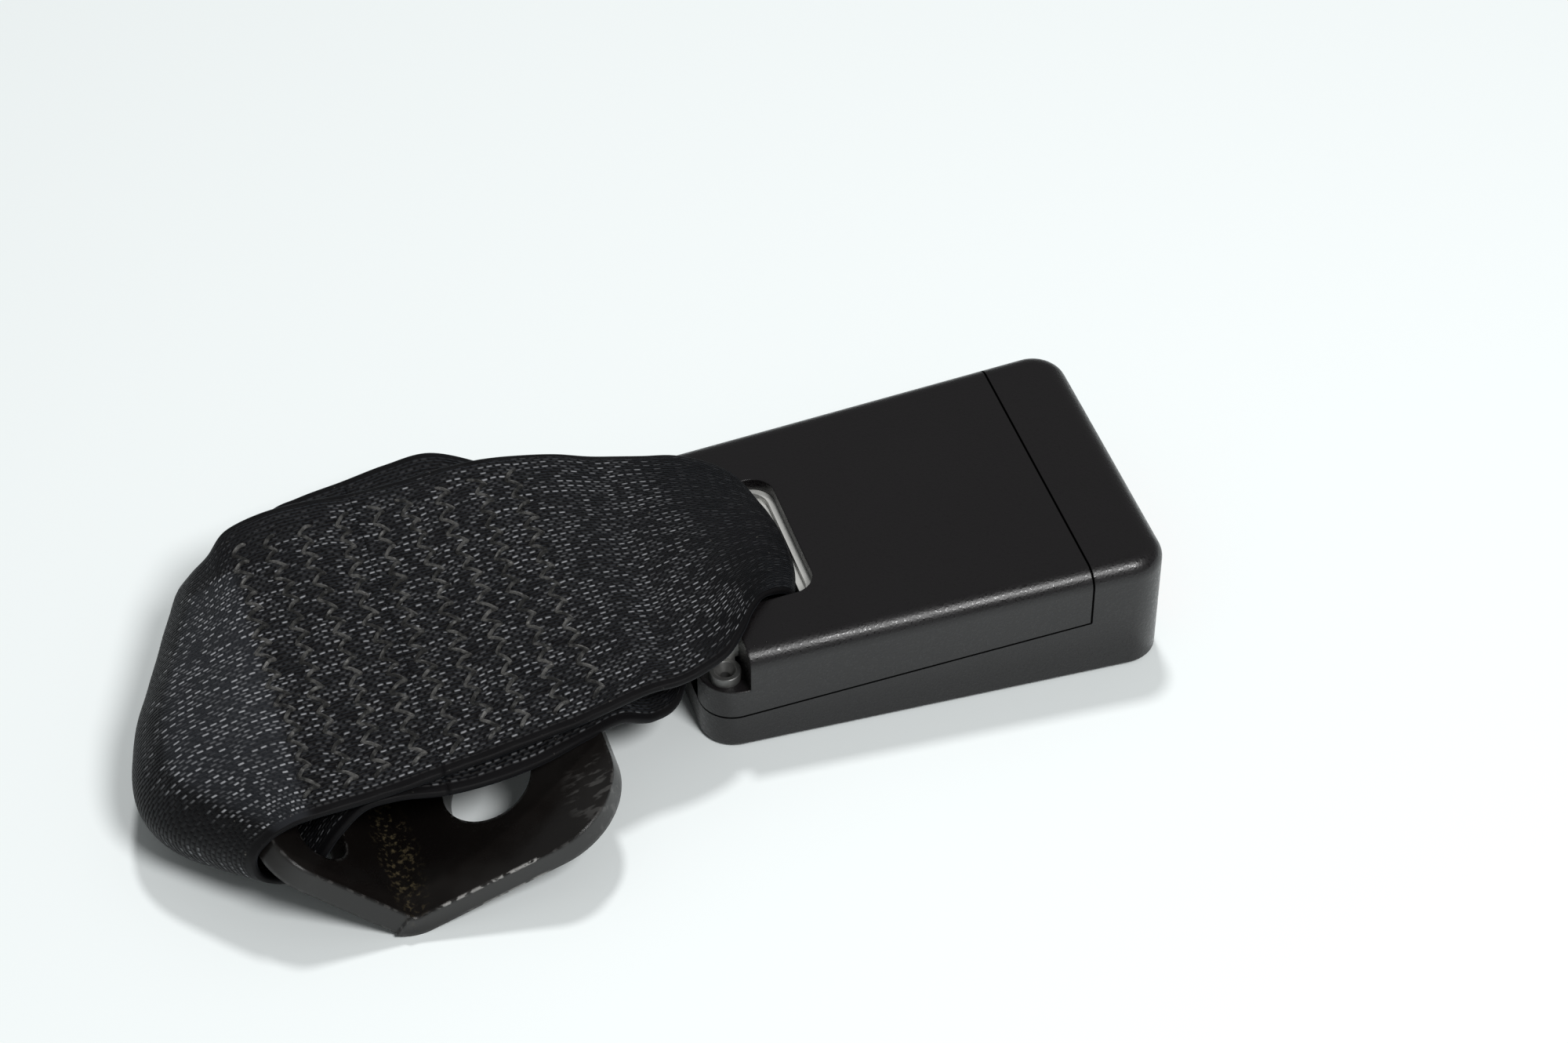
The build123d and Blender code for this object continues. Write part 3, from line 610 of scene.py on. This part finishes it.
class BUCKLE_OT_anchor_plate(bpy.types.Operator):
    """Paint the anchor plate black and wear it at its edges"""

    bl_idname = "buckle.anchor_plate"
    bl_label = "Anchor Plate"

    def execute(self, context):
        given = context.scene.buckle_paint
        finish, graph, inputs = new_finish("painted_plate", given.paint, given.roughness, specular=0.5)
        edges, _ = lay_grain(graph, inputs, given.edge, 0.0009, 0.000012)
        broken = graph.fade(graph.noise(0.0011, 3.0), 0.5, 0.6)
        line = graph.fade(graph.group("patch", **BARE_LINE)["Mask"], 0.1, 0.4)
        line = graph.math("MULTIPLY", line, graph.fade(graph.noise(0.0012, 3.0), 0.46, 0.54))
        line = graph.math("MULTIPLY", line, graph.fade(edges["Edge"], 0.25, 0.6))
        scuffs = graph.group("patch", **SCUFFS)["Mask"]
        streaks = graph.noise(0.0014, 3.0, stretch=SCUFF_STRETCH)
        scuffs = graph.math("MULTIPLY", scuffs, graph.fade(streaks, 0.54, 0.66))
        worn = graph.math("MAXIMUM", line, graph.math("MULTIPLY", scuffs, 0.07))
        chipped = graph.math("MULTIPLY", graph.math("MULTIPLY", edges["Edge"], broken), 0.1)
        worn = graph.math("MAXIMUM", worn, chipped)
        base = graph.mix(worn, given.paint, given.bare)
        bend = graph.group("patch", **BEND)["Mask"]
        dust = graph.math("MULTIPLY", bend, graph.fade(graph.noise(0.0006, 3.0), 0.5, 0.72))
        base = graph.mix(graph.math("MULTIPLY", dust, 0.22), base, given.dust)
        haze = graph.fade(graph.noise(0.012, 4.0), 0.35, 0.75)
        base = graph.mix(graph.math("MULTIPLY", haze, 0.25), base, HAZE_COLOUR)
        graph.feed(inputs["Base Color"], base)
        rough = graph.math("MULTIPLY_ADD", haze, 0.16, given.roughness - 0.06)
        graph.feed(inputs["Roughness"], graph.math("MULTIPLY_ADD", worn, 0.2, rough))
        paint_nodes(finish, "painted_plate", "anchor_plate")
        return {"FINISHED"}


# ---------------------------------------------------------------- webbing, in millimetres
# A station is a row of five points over the belt, from its near edge at 0 to its far edge at 1.
ACROSS = np.array([0.0, 0.25, 0.5, 0.75, 1.0])
# The belt is cut in two here, where its plies are sewn together.
SPLIT_X = -30.0
# The distance between the mesh's rings, and its columns over the belt.
RING_STEP = 0.55
COLUMNS = 61
MIDDLE = COLUMNS // 2

# Each ply between its loops: x, the near and far edge's y, the middle's height, and the near edge's drop.
UPPER_PLY = [(-30.0, -24.0, 25.2, 15.40, 0), (-36.0, -25.0, 25.4, 15.55, 0), (-41.0, -25.8, 24.7, 15.85, 0)]
LOWER_PLY = [
    (-36.0, -24.9, 27.6, 14.25, 0.1), (-30.0, -25.6, 29.0, 14.1, 0.2), (-24.0, -25.2, 30.5, 13.95, 0.3),
    (-18.0, -23.8, 31.2, 13.70, 0.4), (-12.0, -21.4, 27.6, 13.40, 0.5), (-7.0, -18.8, 24.0, 12.50, 1.0),
    (-2.5, -17.4, 20.4, 11.20, 2.2), (1.2, -15.2, 16.6, 10.25, 1.6), (4.0, -10.8, 13.8, 9.55, 0.3),
]
UPPER_RETURN = [
    (1.0, -17.9, 23.0, 14.90, 0), (-3.1, -18.3, 24.6, 15.05, 0), (-7.4, -19.5, 25.6, 15.2, 0),
    (-12.0, -20.8, 26.3, 15.3, 0), (-17.0, -21.8, 26.3, 15.35, 0), (-24.0, -23.0, 25.5, 15.36, 0),
]
# How much higher the upper ply's middle is than its edges.
CROWN = 0.25
# The fold round the frame's bar: near edge, middle and far edge.
FOLD = [
    ((8.0, -7.4, 9.6), (8.0, 2.0, 9.5), (8.0, 11.4, 9.6)),
    ((12.5, -7.0, 9.7), (13.0, 2.0, 9.6), (12.5, 11.0, 9.7)),
    ((16.0, -6.7, 10.6), (17.2, 2.0, 10.1), (16.0, 10.8, 10.6)),
    ((18.4, -6.5, 12.4), (19.9, 2.0, 12.2), (17.5, 11.0, 12.6)),
    ((17.8, -6.7, 14.2), (19.6, 2.2, 14.3), (17.8, 11.5, 14.7)),
    ((14.9, -7.9, 15.9), (17.2, 2.6, 15.8), (16.7, 13.7, 15.9)),
    ((12.2, -10.3, 16.4), (13.4, 2.8, 16.2), (14.0, 16.7, 16.1)),
    ((10.2, -12.9, 16.2), (10.2, 3.0, 16.1), (10.8, 19.1, 15.8)),
    ((7.6, -15.5, 15.6), (7.2, 3.0, 15.7), (7.4, 20.7, 15.2)),
    ((4.7, -16.9, 15.2), (4.5, 3.0, 15.3), (4.5, 21.9, 14.9)),
]
# How far the fold's quarter points lie from its edge towards its middle.
FOLD_ROUNDING = 0.78
# The loop through the plate's slot, in x and z, where it hangs loose and where it is drawn tight.
LOOSE = [
    (-46.5, 16.85), (-53.5, 16.3), (-60.0, 13.6), (-63.3, 8.8), (-61.6, 4.2), (-55.8, 2.2), (-50.0, 3.3),
    (-46.1, 7.7), (-43.2, 11.2), (-39.8, 13.6),
]
TIGHT = [
    (-45.8, 15.9), (-48.7, 15.2), (-51.3, 13.6), (-53.1, 11.1), (-53.0, 8.4), (-51.0, 6.5), (-48.4, 6.2),
    (-46.0, 8.1), (-43.0, 11.6), (-39.6, 14.0),
]
# The loop's y and how loose it hangs, at the five points, and how far a station's near and far edge move.
LOOP_Y = (-26.2, -14.45, -2.7, 9.05, 20.8)
LOOSENESS = (0.03, 1.0, 0.97, 0.5, 0.0)
LOOP_SHIFT = {
    0: (0, 2.2), 1: (0, -0.8), 2: (0, -1.8), 3: (0, -1.8), 4: (0, -1.0), 8: (0.6, 2.8), 9: (1.2, 5.8),
}

# Each rounded edge: how far its points stand out and up, as shares of RIM_BULGE and of the edge's half
# height, which is RIM_HEIGHT of the belt's, and their places in the map.
RIM_POINTS = ((0.55, 0.85), (1.0, 0.0), (0.55, -0.85))
RIM_BULGE, RIM_HEIGHT = 0.32, 0.75
RIM_STEPS = np.array([0.4, 0.8, 1.2])
# The belt thins by EDGE_THINNING towards its edges, over about EDGE_BAND.
EDGE_THINNING, EDGE_BAND = 0.25, 0.8

# The zig-zag rows: the first one's x, their spacing, the room at the belt's edges and the step between holes.
FIRST_ROW, ROW_SPACING, SEAM_MARGIN, HOLE_STEP = -45.6, 4.5, 1.6, 1.5
# Half a zig-zag's width, how far a row wanders, and how far a hole strays.
ZIGZAG, ROW_WANDER, HOLE_STRAY = 0.95, 0.3, 0.28
HOLE_SEED = 7
# The sewn field's near and far edge, in y over x, its two ends, and the height above which the belt is sewn.
FIELD_X = (-44, -36, -25.6, -16.7, -7.4)
FIELD_NEAR = (-25.4, -24.2, -22.6, -21.3, -19.0)
FIELD_FAR = (21.4, 22.8, 24.0, 25.0, 24.6)
FIELD_START, FIELD_END, FIELD_FLOOR = -49, -6, 11
# How deep the thread draws the belt in at a hole, and the square of how far that reaches.
DENT, DENT_REACH = 0.34, 0.5

# The far limit of the belt's lit field, in y over x.
LIT_X = (-50, -41, -33, -24, -14, -2, 6)
LIT_FAR = (14.5, 18.5, 23.0, 26.2, 27.5, 25.0, 23.0)
# The yarn's painted sheen, where the loop faces up towards the light.
PAINTED_SHEEN_YARN = (0.017, 0.018, 0.021)
LINT_COLOUR = (0.2, 0.19, 0.17)

# Points on the belt's outer face over and under the seam, which the webbing leaves for the stitching.
CLOTH = {}


def smooth_through(points, knots, at):
    """Values of a smooth curve that passes through points at knots."""
    points = np.asarray(points, float)
    slopes = np.gradient(points, knots, axis=0)
    i = np.clip(np.searchsorted(knots, at, side="right") - 1, 0, len(knots) - 2)
    step = (knots[i + 1] - knots[i]).reshape((-1,) + (1,) * (points.ndim - 1))
    u = ((at - knots[i]) / (knots[i + 1] - knots[i])).reshape(step.shape)
    return (
        points[i] * (1 + 2 * u) * (1 - u) ** 2
        + slopes[i] * step * u * (1 - u) ** 2
        + points[i + 1] * u * u * (3 - 2 * u)
        + slopes[i + 1] * step * u * u * (u - 1)
    )


def flat_station(x, near, far, level, drop, crown=CROWN):
    """A station of a ply, with its middle crowned and its near edge dropped."""
    y = near + (far - near) * ACROSS
    return [(x, v, level + crown * (1 - (2 * t - 1) ** 2) - drop * (1 - t) ** 3) for v, t in zip(y, ACROSS)]


def fold_station(near, middle, far):
    """A station of the fold, from its two edges and its middle."""
    near, middle, far = (np.array(p) for p in (near, middle, far))
    quarters = []
    for edge in (near, far):
        quarter = edge + (middle - edge) * FOLD_ROUNDING
        quarter[1] = (edge[1] + middle[1]) / 2
        quarters.append(quarter)
    return [near, quarters[0], middle, quarters[1], far]


def loop_station(index):
    """A station of the loop, each point between its tight and its loose place."""
    points = []
    near, far = LOOP_SHIFT.get(index, (0, 0))
    for t, y, loose in zip(ACROSS, LOOP_Y, LOOSENESS):
        y += near + (far - near) * t
        tight, slack = np.array(TIGHT[index]), np.array(LOOSE[index])
        x, z = tight + (slack - tight) * loose
        points.append((x, y, z))
    return points


def belt_surface():
    """The belt's middle surface as a closed strip of points that starts and ends at SPLIT_X on the upper ply,
    the distance along it, the shares across it, and the row where its lower ply crosses SPLIT_X."""
    stations = [flat_station(*row) for row in UPPER_PLY]
    stations += [loop_station(i) for i in range(len(LOOSE))]
    stations += [flat_station(*row, crown=0.0) for row in LOWER_PLY]
    stations += [fold_station(*row) for row in FOLD]
    stations += [flat_station(*row) for row in UPPER_RETURN]
    stations = np.array([[tuple(p) for p in s] for s in stations])
    count = len(stations)
    # a few stations again before the first and after the last, so that the strip closes smoothly
    before, after = 3, 4
    wrapped = np.concatenate([stations[-before:], stations, stations[:after]])
    hops = np.linalg.norm(np.diff(wrapped[:, 2], axis=0), axis=1)
    knots = np.concatenate([[0], np.cumsum(hops)])
    knots -= knots[before]
    total = knots[before + count]
    at = np.linspace(0, total, int(total / RING_STEP) + 1)
    columns = smooth_through(wrapped, knots, at)
    fine = np.linspace(0, 1, COLUMNS)
    surface = smooth_through(columns.transpose(1, 0, 2), ACROSS, fine).transpose(1, 0, 2)
    middle = surface[:, MIDDLE]
    run = np.concatenate([[0], np.cumsum(np.linalg.norm(np.diff(middle, axis=0), axis=1))])
    crossing = np.where((middle[:-1, 0] < SPLIT_X) & (middle[1:, 0] >= SPLIT_X))[0][0] + 1
    return surface, run, fine, crossing


def surface_normals(surface):
    """Which way the closed strip faces at each of its points."""
    along = np.empty_like(surface)
    along[1:-1] = surface[2:] - surface[:-2]
    along[0] = along[-1] = surface[1] - surface[-2]
    across = np.gradient(surface, axis=1)
    normal = np.cross(across, along)
    return normal / np.linalg.norm(normal, axis=2)[..., None]


def needle_holes(rows):
    """Where the zig-zag rows pierce the belt, as x and y."""
    draw = np.random.default_rng(HOLE_SEED)
    lines = []
    for row in range(rows):
        x = FIRST_ROW + ROW_SPACING * row
        near = float(np.interp(x, FIELD_X, FIELD_NEAR)) + SEAM_MARGIN
        far = float(np.interp(x, FIELD_X, FIELD_FAR)) - SEAM_MARGIN
        steps = int((far - near) / HOLE_STEP)
        line = []
        for step in range(steps + 1):
            y = near + (far - near) * step / steps
            wave = ROW_WANDER * sin(row * 1.7 + step * 0.31)
            nudge = draw.uniform(-HOLE_STRAY, HOLE_STRAY, 2)
            line.append((x + (ZIGZAG if step % 2 else -ZIGZAG) + wave + nudge[0], y + nudge[1]))
        lines.append(line)
    return lines


def draw_in(face, normal, holes, sign):
    """Move one face of the belt inwards at each needle hole. face itself is changed."""
    points = face.reshape(-1, 3)
    sewn = (points[:, 0] > FIELD_START) & (points[:, 0] < FIELD_END) & (points[:, 2] > FIELD_FLOOR)
    spots = points[sewn]
    gap = (spots[:, None, 0] - holes[None, :, 0]) ** 2 + (spots[:, None, 1] - holes[None, :, 1]) ** 2
    dent = DENT * np.exp(-gap.min(axis=1) / DENT_REACH)
    points[sewn] -= normal.reshape(-1, 3)[sewn] * (dent * sign)[:, None]


def belt_skin(surface, fine, half, holes):
    """Rings of points round the belt, which way each of them faces, and the belt's outer face."""
    normal = surface_normals(surface)
    across = np.gradient(surface, axis=1)
    across /= np.linalg.norm(across, axis=2)[..., None]
    taper = 1 - EDGE_THINNING * np.exp(-np.minimum(fine, 1 - fine) * BELT_WIDTH / EDGE_BAND)
    x, y = surface[..., 0], surface[..., 1]
    lumps = np.sin(x * 0.9 + 1.3) * np.sin(y * 0.55 + x * 0.2) * 0.05
    top = surface + normal * (half * taper[None, :] + lumps)[..., None]
    bottom = surface - normal * (half * taper[None, :])[..., None]
    draw_in(top, normal, holes, 1)
    draw_in(bottom, normal, holes, -1)
    near, far = [], []
    for out, up in RIM_POINTS:
        bulge, rise = RIM_BULGE * out, half * RIM_HEIGHT * up
        near.append(surface[:, 0] - across[:, 0] * bulge + normal[:, 0] * rise)
        far.append(surface[:, -1] + across[:, -1] * bulge + normal[:, -1] * rise)
    ring = np.concatenate([top, np.stack(far, axis=1), bottom[:, ::-1], np.stack(near[::-1], axis=1)], axis=1)
    facing = np.concatenate(
        [
            normal, *[across[:, -1:] * out + normal[:, -1:] * up for out, up in RIM_POINTS],
            -normal[:, ::-1], *[-across[:, :1] * out + normal[:, :1] * up for out, up in RIM_POINTS[::-1]],
        ],
        axis=1,
    )
    return ring, facing, top


def ramp(value, low, high):
    """0 below low and 1 above high, smooth between."""
    t = np.clip((value - low) / (high - low), 0, 1)
    return t * t * (3 - 2 * t)


def belt_painted_light(ring, upward, leftmost, turn):
    """How brightly the floats' painted glints shine at each point, from 0.06 to 1.8: painted shade in the
    fold, under the belt and along its far edge, and a painted sheen on the loop where it faces up. leftmost
    and turn are the rows where the belt turns back."""
    x, y = ring[..., 0], ring[..., 1]
    limit = np.interp(x, LIT_X, LIT_FAR)
    shine = 1 - 0.9 * ramp(y - limit, -0.8, 0.8) * (x < 0)
    shine *= 1 - 0.85 * ramp(x - (12.5 - 0.17 * (y + 15)), -1.5, 2.0)
    loop = ramp(-x, 45.0, 48.0)
    shine = shine * (1 - loop) + loop * np.minimum(shine, ramp(upward, 0.55, 0.95)) * 1.8
    under = np.zeros(len(ring), bool)
    under[leftmost:turn] = True
    shine[under] = np.where(y[under] < -17, 0.6, 0.1)
    return np.maximum(shine, 0.06)


def webbing_finish(given):
    """Black woven yarn with painted glints on its floats, a painted sheen where the loop faces up, and lint.
    """
    finish, graph, inputs = new_finish("webbing", given.yarn, 0.5, specular=0.14)
    weave = graph.group("weave", rib=given.rib, dash=given.dash, width=given.width)
    painted_light = graph.node("Attribute", attribute_name="painted_light").outputs["Fac"]
    lit = graph.math("MULTIPLY", weave["Glints"], painted_light)
    # Painted sheen: the yarn is painted paler on the loop's upward face.
    base = graph.mix(graph.fade(painted_light, 1.0, 1.8), given.yarn, PAINTED_SHEEN_YARN)
    # Painted glints: the crowns of the floats take the glint colour where they would catch the light.
    base = graph.mix(lit, base, given.glint_colour)
    lint = graph.fade(graph.noise(0.0007, 4.0), 0.7, 0.78)
    base = graph.mix(graph.math("MULTIPLY", lint, 0.35), base, LINT_COLOUR)
    graph.feed(inputs["Base Color"], base)
    fibre = graph.noise(0.0002, 2.0, graph.node("UVMap", uv_map="belt").outputs[0], stretch=(0.3, 1, 1))
    height = graph.math("MULTIPLY_ADD", fibre, 0.12, weave["Height"])
    graph.feed(inputs["Normal"], graph.node("Bump", {"Height": height, "Distance": 0.00022}).outputs[0])
    graph.feed(inputs["Roughness"], graph.math("MULTIPLY_ADD", lit, -0.2, 0.58))
    inputs["Sheen Weight"].default_value = 0.03
    inputs["Sheen Roughness"].default_value = 0.4
    inputs["Sheen Tint"].default_value = (0.75, 0.85, 1.0, 1)
    return finish


def map_belt(mesh, distances, places, closing, painted_light):
    """Write the belt's map, where each ring's last face ends at closing, and each point's painted light."""
    count, per_ring = len(distances), len(places)
    index = np.empty(len(mesh.loops), int)
    mesh.loops.foreach_get("vertex_index", index)
    u = np.repeat(distances, per_ring)[index]
    v = np.tile(places, count)[index]
    v[:4 * per_ring * (count - 1)].reshape(-1, per_ring, 4)[:, -1, 1:3] = closing
    layer = mesh.uv_layers.new(name="belt")
    layer.data.foreach_set("uv", (np.stack([u, v], axis=1) * MM).astype(np.float32).ravel())
    attribute = mesh.attributes.new("painted_light", "FLOAT", "POINT")
    attribute.data.foreach_set("value", painted_light.astype(np.float32).ravel())


class BUCKLE_OT_webbing(bpy.types.Operator):
    """Lay the belt through the buckle and the anchor plate"""

    bl_idname = "buckle.webbing"
    bl_label = "Webbing"

    def execute(self, context):
        given = context.scene.buckle_webbing
        finish = webbing_finish(given)
        surface, run, fine, crossing = belt_surface()
        turn = int(np.argmax(surface[:, MIDDLE, 0]))
        leftmost = int(np.argmin(surface[:, MIDDLE, 0]))
        holes = np.array([hole for line in needle_holes(given.rows) for hole in line])
        ring, facing, top = belt_skin(surface, fine, given.thickness / MM / 2, holes)
        painted_light = belt_painted_light(ring, facing[..., 2], leftmost, turn)
        width = given.width / MM
        places = np.concatenate([
            fine * width,
            width + RIM_STEPS,
            width + RIM_ROOM + fine * width,
            2 * width + RIM_ROOM + RIM_STEPS,
        ])
        for name, first, last, nodes, bodies, start, end in (
            (
                "webbing_anchor_end", 0, crossing, ("strap_anchor_loop",),
                ("strap", "anchor"), (-0.05, 0, 0.0125), (-0.05, 0, -0.002),
            ),
            (
                "webbing_buckle_end", crossing, len(surface) - 1,
                ("strap_upper_ply", "strap_lower_ply", "strap_buckle_loop"),
                ("housing", "strap"), (0.0105, 0, 0.012), (-0.002, 0, 0.012),
            ),
        ):
            rows = ring[first:last + 1]
            faces = ring_faces(len(rows), len(places))
            piece = new_piece(name, rows.reshape(-1, 3) * MM, faces, finish)
            for cut in piece.data.polygons[-2:]:
                cut.use_smooth = False
            closing = 2 * (width + RIM_ROOM)
            map_belt(piece.data, run[first:last + 1], places, closing, painted_light[first:last + 1])
            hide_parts(*nodes)
            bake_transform(piece)
        CLOTH["upper"] = np.concatenate([top[:leftmost], top[turn:]]).reshape(-1, 3)
        CLOTH["lower"] = top[leftmost:turn].reshape(-1, 3)
        return {"FINISHED"}


# ---------------------------------------------------------------- stitching
STITCH_POINTS, THREAD_SIDES = 8, 6
# How far the two legs of a zig-zag stand proud in turn, and how deep their ends sink, in millimetres.
PROUD, SUNK = (0.54, 0.22), 0.3
# How near a point of the belt has to be, in x and y, for a stitch to lie on it.
NEAR_X, NEAR_Y = 0.6, 0.8
# The thread's painted shade, as a share of its colour.
SHADED_THREAD = 0.22


def heights_near(points, x, y):
    """The heights of those of the points that are near x and y."""
    near = (np.abs(points[:, 0] - x) < NEAR_X) & (np.abs(points[:, 1] - y) < NEAR_Y)
    return points[near][:, 2]


def lay_stitch(cloth, sign, start, end, proud):
    """Points along one stitch on the upper (sign 1) or lower (sign -1) side, or None off the cloth."""
    (x0, y0), (x1, y1) = start, end
    levels = []
    for t in (0.0, 0.5, 1.0):
        found = heights_near(cloth, x0 + (x1 - x0) * t, y0 + (y1 - y0) * t)
        if len(found):
            levels.append(found.max() if sign > 0 else found.min())
    if len(levels) < 3:
        return None
    points = []
    for t in np.linspace(0, 1, STITCH_POINTS):
        level = np.interp(t, (0, 0.5, 1), levels)
        lift = sign * (proud * (1 - (2 * t - 1) ** 2) - SUNK)
        points.append((x0 + (x1 - x0) * t, y0 + (y1 - y0) * t, level + lift))
    return points


class BUCKLE_OT_stitching(bpy.types.Operator):
    """Sew the plies together with zig-zag rows"""

    bl_idname = "buckle.stitching"
    bl_label = "Stitching"

    def execute(self, context):
        given = context.scene.buckle_webbing
        finish, graph, inputs = new_finish("sewing_thread", given.thread, 0.5)
        ply = graph.node(
            "TexWave", {"Scale": 900.0, "Distortion": 1.0}, wave_type="BANDS", bands_direction="DIAGONAL"
        )
        bump = graph.node("Bump", {"Height": ply.outputs["Fac"], "Distance": 0.00004})
        graph.feed(inputs["Normal"], bump.outputs[0])
        # Painted light and shade on the thread: paler lit patches at random, and the painted shade colour
        # between them.
        paler_patches = graph.fade(graph.noise(0.0013, 2.0), 0.4, 0.62)
        shaded = tuple(SHADED_THREAD * c for c in given.thread)
        graph.feed(inputs["Base Color"], graph.mix(paler_patches, shaded, given.thread))
        for name, cloth, sign in (
            ("stitching_upper", CLOTH["upper"], 1),
            ("stitching_lower", CLOTH["lower"], -1),
        ):
            vertices, faces = [], []
            for line in needle_holes(given.rows):
                for leg, (start, end) in enumerate(zip(line[:-1], line[1:])):
                    points = lay_stitch(cloth, sign, start, end, PROUD[leg % 2])
                    if points:
                        more, sides = tube(np.array(points) * MM, given.thread_radius, THREAD_SIDES)
                        faces += [tuple(k + len(vertices) for k in side) for side in sides]
                        vertices += list(more)
            thread = new_piece(name, vertices, faces, finish)
            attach(thread, "strap")
        return {"FINISHED"}


# ---------------------------------------------------------------- panel and registration
GROUPS = (make_grain, make_soft_edges, make_patch, make_weave)
OPERATORS = (
    BUCKLE_OT_stage,
    BUCKLE_OT_housing,
    BUCKLE_OT_metalwork,
    BUCKLE_OT_mechanism,
    BUCKLE_OT_springs,
    BUCKLE_OT_anchor_plate,
    BUCKLE_OT_webbing,
    BUCKLE_OT_stitching,
)


class BUCKLE_PT_panel(bpy.types.Panel):
    """Settings and pieces of the buckle"""

    bl_label = "Seat Belt Buckle"
    bl_idname = "BUCKLE_PT_panel"
    bl_space_type = "VIEW_3D"
    bl_region_type = "UI"
    bl_category = "Buckle"

    def draw(self, context):
        for name, group in SETTINGS.items():
            box = self.layout.box()
            for key in group.__annotations__:
                box.prop(getattr(context.scene, name), key)
        for operator in OPERATORS:
            self.layout.operator(operator.bl_idname)


CLASSES = (*SETTINGS.values(), *OPERATORS, BUCKLE_PT_panel)


def register():
    for made in CLASSES:
        bpy.utils.register_class(made)
    for name, group in SETTINGS.items():
        setattr(bpy.types.Scene, name, PointerProperty(type=group))


def unregister():
    for name in SETTINGS:
        delattr(bpy.types.Scene, name)
    for made in reversed(CLASSES):
        bpy.utils.unregister_class(made)


def main():
    register()
    for make in GROUPS:
        make()
    for operator in OPERATORS:
        group, name = operator.bl_idname.split(".")
        getattr(getattr(bpy.ops, group), name)()


if __name__ == "__main__":
    main()
